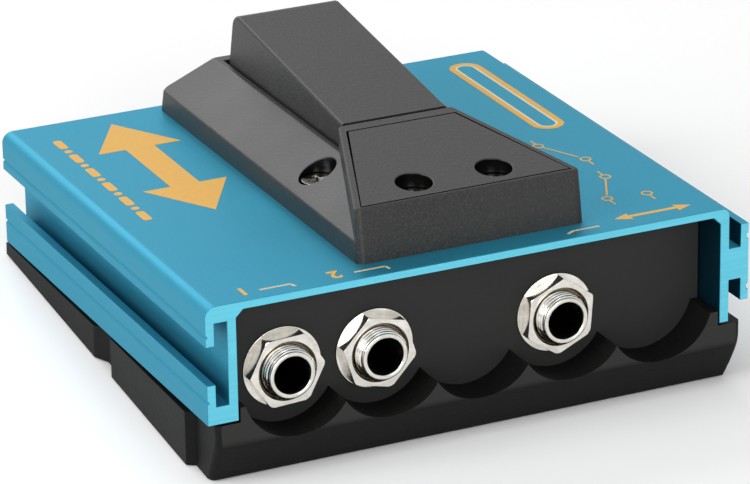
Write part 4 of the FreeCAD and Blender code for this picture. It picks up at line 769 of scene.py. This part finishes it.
class SWITCHBOX_OT_fixings(bpy.types.Operator):
    """Makes the nuts, the washers, the screws and the hinge pin with eased, polished edges."""

    bl_idname = "switchbox.fixings"
    bl_label = "Fixings"

    def execute(self, context):
        edge = settings()[0].metal_edge
        for node, name, slot_name in (
            ("jack_nuts", "polished_jack_nuts", "nickel"),
            ("jack_washers", "polished_jack_washers", "nickel"),
            ("side_screws", "eased_side_screws", "black_steel"),
            ("cover_screws", "eased_cover_screws", "black_steel"),
            ("base_screws", "eased_base_screws", "black_steel"),
            ("board_screws", "eased_board_screws", "plain_steel"),
            ("hinge_pin", "eased_hinge_pin", "plain_steel"),
            ("switch_nut", "eased_switch_nut", "plain_steel"),
            ("switch_washer", "eased_switch_washer", "plain_steel"),
        ):
            piece = copy_of(node, name)
            ease_edges(piece, edge, angle=30.0)
            smooth(piece)
            settle(piece, "case", slot_name, finish_of(slot_name))
            if node == "jack_nuts":
                # Painted shade: the nuts' countersinks take the darker second finish
                piece.data.materials.append(finish_of("shaded_nickel"))
                middles = [(x, JACK_HEIGHT) for x in JACKS.values()]
                finish_hole_walls(piece, middles, 1, NUT_COUNTERSINK)
        return {"FINISHED"}


class SWITCHBOX_OT_bushes(bpy.types.Operator):
    """Turns the three jack bushes, with a rounded lip and a cut thread."""

    bl_idname = "switchbox.bushes"
    bl_label = "Jack bushes"

    lip_radius = 4.08
    lip_depth = 0.42
    bore_rings = (8.0, 4.0)
    thread_start = 2.78
    thread_end = 5.20
    thread_run_in = 0.3
    rings_per_turn = 9
    steps = 80

    def execute(self, context):
        sizes = settings()[0]
        self.pitch = sizes.thread_pitch / MM
        self.depth = sizes.thread_depth / MM
        for jack, x in JACKS.items():
            bush = spun_outline("threaded_" + jack + "_bush", self.outline(), self.steps)
            self.cut_thread(bush)
            self.mark_finishes(bush)
            bush.location = Vector((x, 0.0, JACK_HEIGHT)) * MM
            into_row_frame(bush)
            bpy.ops.object.shade_smooth_by_angle(angle=math.radians(35.0))
            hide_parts(jack + "_bush")
            settle(bush, "case", "nickel", finish_of("nickel"), finish_of("bore"),
                   finish_of("thread"))
        return {"FINISHED"}

    def outline(self):
        """Half a lengthwise section of a bush, from the back of its bore round to its flange."""
        bore = [(BORE_RADIUS, along) for along in (BUSH_BACK, *self.bore_rings)]
        front = [(BORE_RADIUS, BUSH_FRONT + self.lip_depth),
                 (BORE_RADIUS + 0.05, BUSH_FRONT + 0.20),
                 (BORE_RADIUS + 0.14, BUSH_FRONT + 0.06), (BORE_RADIUS + 0.26, BUSH_FRONT),
                 (self.lip_radius - 0.24, BUSH_FRONT), (self.lip_radius - 0.08, BUSH_FRONT + 0.07),
                 (self.lip_radius, BUSH_FRONT + 0.20), (self.lip_radius, BUSH_FRONT + 0.40)]
        rings = int((self.thread_end - self.thread_start) / self.pitch * self.rings_per_turn)
        step = (self.thread_end - self.thread_start) / rings
        thread = [(BUSH_RADIUS, self.thread_start + step * ring) for ring in range(rings + 1)]
        back = [(BUSH_RADIUS, BUSH_FLANGE_FRONT), (BUSH_FLANGE, BUSH_FLANGE_FRONT),
                (BUSH_FLANGE, BUSH_BACK)]
        return bore + front + thread + back

    def cut_thread(self, bush):
        """Moves the points between the lip and the nut onto a wave that winds round the bush."""
        groove = bush.data.attributes.new("groove", "FLOAT", "POINT")
        for vertex in bush.data.vertices:
            along = vertex.co.y / MM
            radius = math.hypot(vertex.co.x, vertex.co.z) / MM
            threaded_part = self.thread_start - 0.01 < along < self.thread_end + 0.01
            if radius < BUSH_RADIUS - 0.05 or not threaded_part:
                continue
            turn = math.atan2(vertex.co.z, vertex.co.x) / math.tau
            wave = 0.5 - 0.5 * math.cos(math.tau * (along / self.pitch + turn))
            run_in = min(1.0, max(0.0, (along - self.thread_start) / self.thread_run_in))
            wanted = self.lip_radius + (BUSH_RADIUS - self.depth * wave - self.lip_radius) * run_in
            vertex.co.x *= wanted / radius
            vertex.co.z *= wanted / radius
            groove.data[vertex.index].value = wave * run_in

    def mark_finishes(self, bush):
        """The bore and the thread have finishes of their own, both darker as painted shade: all of
        the bore, and the thread's grooves.
        """
        for face in bush.data.polygons:
            middle = face.center / MM
            radius = math.hypot(middle.x, middle.z)
            if middle.y <= BUSH_FRONT + self.lip_depth:
                continue
            if radius < BORE_RADIUS + RIM_OFF:
                face.material_index = 1
            elif radius > self.lip_radius - RIM_OFF:
                face.material_index = 2


class SWITCHBOX_OT_spring(bpy.types.Operator):
    """Winds the treadle's return spring, with its end coils closed."""

    bl_idname = "switchbox.spring"
    bl_label = "Return spring"

    steps_per_turn = 28
    closed_turns = 0.9
    closed_pitch = 2.05

    def execute(self, context):
        sizes = settings()[0]
        sides = sizes.wire_sides
        steps = int(sizes.spring_turns * self.steps_per_turn)
        clear_selection()
        bpy.ops.mesh.primitive_circle_add(
            vertices=sides, radius=SPRING_WIRE * MM, rotation=(math.radians(90.0), 0.0, 0.0),
            location=(SPRING_MIDDLE_RADIUS * MM, 0.0, 0.0))
        spring = context.object
        spring.name = spring.data.name = "wound_return_spring"
        bpy.ops.object.transform_apply(location=True, rotation=True, scale=True)
        open_mesh(spring)
        bpy.ops.mesh.spin(steps=steps, angle=math.tau * sizes.spring_turns, use_auto_merge=False,
                          center=(0.0, 0.0, 0.0), axis=(0.0, 0.0, 1.0))
        close_mesh()
        low = SPRING_LOW + SPRING_WIRE
        high = SPRING_TOP - SPRING_WIRE
        for vertex in spring.data.vertices:
            turn = (vertex.index // sides) / self.steps_per_turn
            vertex.co.z += self.height_at(turn, sizes.spring_turns, low, high) * MM
        self.close_ends(spring, sides, steps)
        spring.location = Vector((PEDAL_MIDDLE, SPRING_Y, 0.0)) * MM
        into_row_frame(spring)
        weld(spring)
        smooth(spring, 50.0)
        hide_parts("return_spring")
        settle(spring, "case", "plain_steel", finish_of("plain_steel"))
        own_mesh(spring)
        return {"FINISHED"}

    def height_at(self, turn, turns, low, high):
        """Height of the wire's middle: a nearly closed coil at each end, an even rise between."""
        closed = self.closed_turns
        lift = SPRING_WIRE * self.closed_pitch * closed
        if turn < closed:
            return low + lift * turn / closed
        if turn > turns - closed:
            return high - lift * (turns - turn) / closed
        return low + lift + (high - low - 2.0 * lift) * (turn - closed) / (turns - 2.0 * closed)

    def close_ends(self, spring, sides, steps):
        """Fills the open ring of points at each end of the wire."""
        for ring in (0, steps):
            start_choice(spring, "VERT")
            for vertex in spring.data.vertices[ring * sides:(ring + 1) * sides]:
                vertex.select = True
            bpy.ops.object.mode_set(mode="EDIT")
            bpy.ops.mesh.edge_face_add()
            close_mesh()


class SWITCHBOX_OT_sole(bpy.types.Operator):
    """Makes the rubber sole and the stop pads under the treadle."""

    bl_idname = "switchbox.sole"
    bl_label = "Rubber parts"

    def execute(self, context):
        for node, name in (("rubber_sole", "eased_rubber_sole"), ("stop_pads", "eased_stop_pads")):
            piece = copy_of(node, name)
            ease_edges(piece, settings()[0].metal_edge)
            smooth(piece)
            settle(piece, "case", "black_rubber", finish_of("black_rubber"))
        return {"FINISHED"}


class SWITCHBOX_OT_prints(bpy.types.Operator):
    """Prints plain marks on the shell: a large double arrow, dashes, numbers and switch signs."""

    bl_idname = "switchbox.prints"
    bl_label = "Printed marks"

    line = 0.34

    # Both ends of each double arrow, then the width of its shaft and the size of its heads
    large_arrow = ((18.95, 39.5), (18.95, 86.6), 5.4, 15.6, 13.4)
    small_arrow = ((76.6, 4.4), (91.2, 4.4), 0.85, 2.7, 2.9)
    arrow_edge = 0.42

    # Left, right, near and far side of the outlined block, and its corners' radius
    block_outline = (84.9, 91.0, 48.2, 86.8, 3.0)
    block_line = 1.1
    block_edge = 0.22

    dash_sides = (6.2, 7.8)
    dash_length = 4.4
    dash_corner = 0.6
    dash_step = 7.7
    dash_range = (40.2, 84.0)
    dot_middle = 7.0
    dot_ahead = 6.05
    dot_radius = 0.75
    last_dot = 78.0

    jack_routes = (((11.07, 3.26), (16.5, 3.26), (16.95, 2.05)),
                   ((27.9, 3.1), (33.5, 3.1), (33.76, 1.83)),
                   ((72.87, 2.86), (67.97, 2.86), (66.61, 2.02)))

    # The middle contact of each switch sign, and the two that its lever can touch
    signs = (((81.2, 41.5), ((85.6, 32.0), (80.4, 31.0))),
             ((84.6, 22.8), ((80.0, 13.4), (87.2, 12.6))))
    contact_radius = 1.05
    lever_gap = 1.6
    tail_end = 3.0
    common_tail_end = 2.9

    number_places = (("1", 8.3, 3.9), ("2", 24.6, 3.7))
    number_size = 4.2
    number_weight = 0.11

    def execute(self, context):
        top = SHELL_HEIGHT + settings()[0].print_height / MM
        self.levels = (SHELL_HEIGHT, top)
        under = (SHELL_HEIGHT, SHELL_HEIGHT + (top - SHELL_HEIGHT) * 0.5)
        arrow = self.double_arrow(*self.large_arrow)
        block = self.rounded_block(*self.block_outline)
        cream = [flat_shape(arrow, *under, grow=self.arrow_edge),
                 flat_shape(block, *under, grow=self.block_edge,
                            band=self.block_line + 2 * self.block_edge)]
        orange = [flat_shape(arrow, *self.levels),
                  flat_shape(block, *self.levels, band=self.block_line)]
        orange += self.dashes() + self.jack_lines(self.line * 0.5, self.levels)
        orange += self.switch_signs() + self.numbers()
        cream += self.jack_lines(self.line * 1.35, under)
        orange.append(flat_shape(self.double_arrow(*self.small_arrow), *self.levels))
        for pieces, name in ((cream, "print_cream"), (orange, "print_orange")):
            marks = joined(pieces, name)
            into_row_frame(marks)
            settle(marks, "case", name, finish_of(name))
        return {"FINISHED"}

    def double_arrow(self, start, end, shaft, head, length):
        """Outline of a straight arrow with a head at both ends."""
        start, end = Vector(start), Vector(end)
        along = (end - start).normalized()
        across = Vector((-along.y, along.x))
        points = [start, start + along * length - across * head / 2,
                  start + along * length - across * shaft / 2,
                  end - along * length - across * shaft / 2,
                  end - along * length - across * head / 2, end,
                  end - along * length + across * head / 2,
                  end - along * length + across * shaft / 2,
                  start + along * length + across * shaft / 2,
                  start + along * length + across * head / 2]
        return [tuple(point) for point in points]

    def rounded_block(self, left, right, near, far, radius, corner_steps=7):
        """Outline of an upright rectangle with round corners."""
        points = []
        for x, y, start in ((right - radius, near + radius, -90), (right - radius, far - radius, 0),
                            (left + radius, far - radius, 90), (left + radius, near + radius, 180)):
            for step in range(corner_steps + 1):
                turn = math.radians(start + 90 * step / corner_steps)
                points.append((x + radius * math.cos(turn), y + radius * math.sin(turn)))
        return points

    def disc(self, x, y, radius, steps=28):
        return [(x + radius * math.cos(math.tau * step / steps),
                 y + radius * math.sin(math.tau * step / steps)) for step in range(steps)]

    def stroke(self, start, end, width=None, levels=None):
        """A straight printed line with square ends."""
        start, end = Vector(start), Vector(end)
        along = (end - start).normalized()
        across = Vector((-along.y, along.x)) * (width or self.line) / 2
        points = [start - across, end - across, end + across, start + across]
        return flat_shape([tuple(point) for point in points], *(levels or self.levels))

    def dashes(self):
        """A row of dashes with dots between them, beside the large arrow."""
        pieces = []
        spot, end = self.dash_range
        while spot < end:
            dash = self.rounded_block(*self.dash_sides, spot, spot + self.dash_length,
                                      self.dash_corner, 4)
            pieces.append(flat_shape(dash, *self.levels))
            if spot < self.last_dot:
                dot = self.disc(self.dot_middle, spot + self.dot_ahead, self.dot_radius, 20)
                pieces.append(flat_shape(dot, *self.levels))
            spot += self.dash_step
        return pieces

    def jack_lines(self, width, levels):
        """Bent lines that lead from each number to its jack."""
        pieces = []
        for points in self.jack_routes:
            for start, end in zip(points, points[1:]):
                pieces.append(self.stroke(start, end, width, levels))
        return pieces

    def switch_signs(self):
        """Two plain signs for a changeover switch: three contacts with a lever between them."""
        pieces = []
        ahead = Vector((0.0, 1.0))
        edge = self.contact_radius
        for common, throws in self.signs:
            common = Vector(common)
            first, second = Vector(throws[0]), Vector(throws[1])
            for spot in (common, first, second):
                ring = self.disc(spot.x, spot.y, edge)
                pieces.append(flat_shape(ring, *self.levels, band=self.line))
            reach = (first - common).normalized()
            pieces.append(self.stroke(common + reach * edge, first - reach * self.lever_gap))
            for spot in (first, second):
                pieces.append(self.stroke(spot - ahead * edge, spot - ahead * self.tail_end))
            pieces.append(self.stroke(common + ahead * edge, common + ahead * self.common_tail_end))
        return pieces

    def numbers(self):
        """The numbers of the two outputs, read from the treadle's end."""
        pieces = []
        for text, x, y in self.number_places:
            clear_selection()
            bpy.ops.object.text_add(location=(x * MM, y * MM, self.levels[0] * MM),
                                    rotation=(0.0, 0.0, math.pi))
            mark = bpy.context.object
            mark.data.body = text
            mark.data.size = self.number_size * MM
            mark.data.align_x = "CENTER"
            mark.data.align_y = "CENTER"
            mark.data.offset = self.number_weight * MM
            mark.data.extrude = (self.levels[1] - self.levels[0]) * MM / 2
            mark.location.z += mark.data.extrude
            bpy.context.view_layer.update()
            bpy.ops.object.convert(target="MESH")
            mark = bpy.context.object
            take_up(mark)
            bpy.ops.object.transform_apply(location=True, rotation=True, scale=True)
            weld(mark)
            pieces.append(mark)
        return pieces


class SWITCHBOX_OT_inner_parts(bpy.types.Operator):
    """Finishes the parts that are shown as the CAD has them."""

    bl_idname = "switchbox.inner_parts"
    bl_label = "Inner parts"

    def execute(self, context):
        for row in frame["record"]["subparts"]:
            part = frame["nodes"][row["node"]]
            if not part.hide_render:
                part.data.materials.clear()
                part.data.materials.append(finish_of(row["material_slot"]))
        return {"FINISHED"}


STEPS = (SWITCHBOX_OT_stage, SWITCHBOX_OT_shell, SWITCHBOX_OT_mouldings, SWITCHBOX_OT_fixings,
         SWITCHBOX_OT_bushes, SWITCHBOX_OT_spring, SWITCHBOX_OT_sole, SWITCHBOX_OT_prints,
         SWITCHBOX_OT_inner_parts)


class SWITCHBOX_PT_panel(bpy.types.Panel):
    """Lists the steps that build the switch box."""

    bl_idname = "SWITCHBOX_PT_panel"
    bl_label = "Switch box"
    bl_space_type = "VIEW_3D"
    bl_region_type = "UI"
    bl_category = "Switch box"

    def draw(self, context):
        for step in STEPS:
            self.layout.operator(step.bl_idname)


CLASSES = (SwitchBoxSizes, SwitchBoxColours, *STEPS, SWITCHBOX_PT_panel)


def register():
    for item in CLASSES:
        bpy.utils.register_class(item)
    bpy.types.Scene.switch_box_sizes = PointerProperty(type=SwitchBoxSizes)
    bpy.types.Scene.switch_box_colours = PointerProperty(type=SwitchBoxColours)


def unregister():
    del bpy.types.Scene.switch_box_colours
    del bpy.types.Scene.switch_box_sizes
    for item in reversed(CLASSES):
        bpy.utils.unregister_class(item)


def main():
    register()
    for step in STEPS:
        group, name = step.bl_idname.split(".")
        getattr(getattr(bpy.ops, group), name)()


if __name__ == "__main__":
    main()
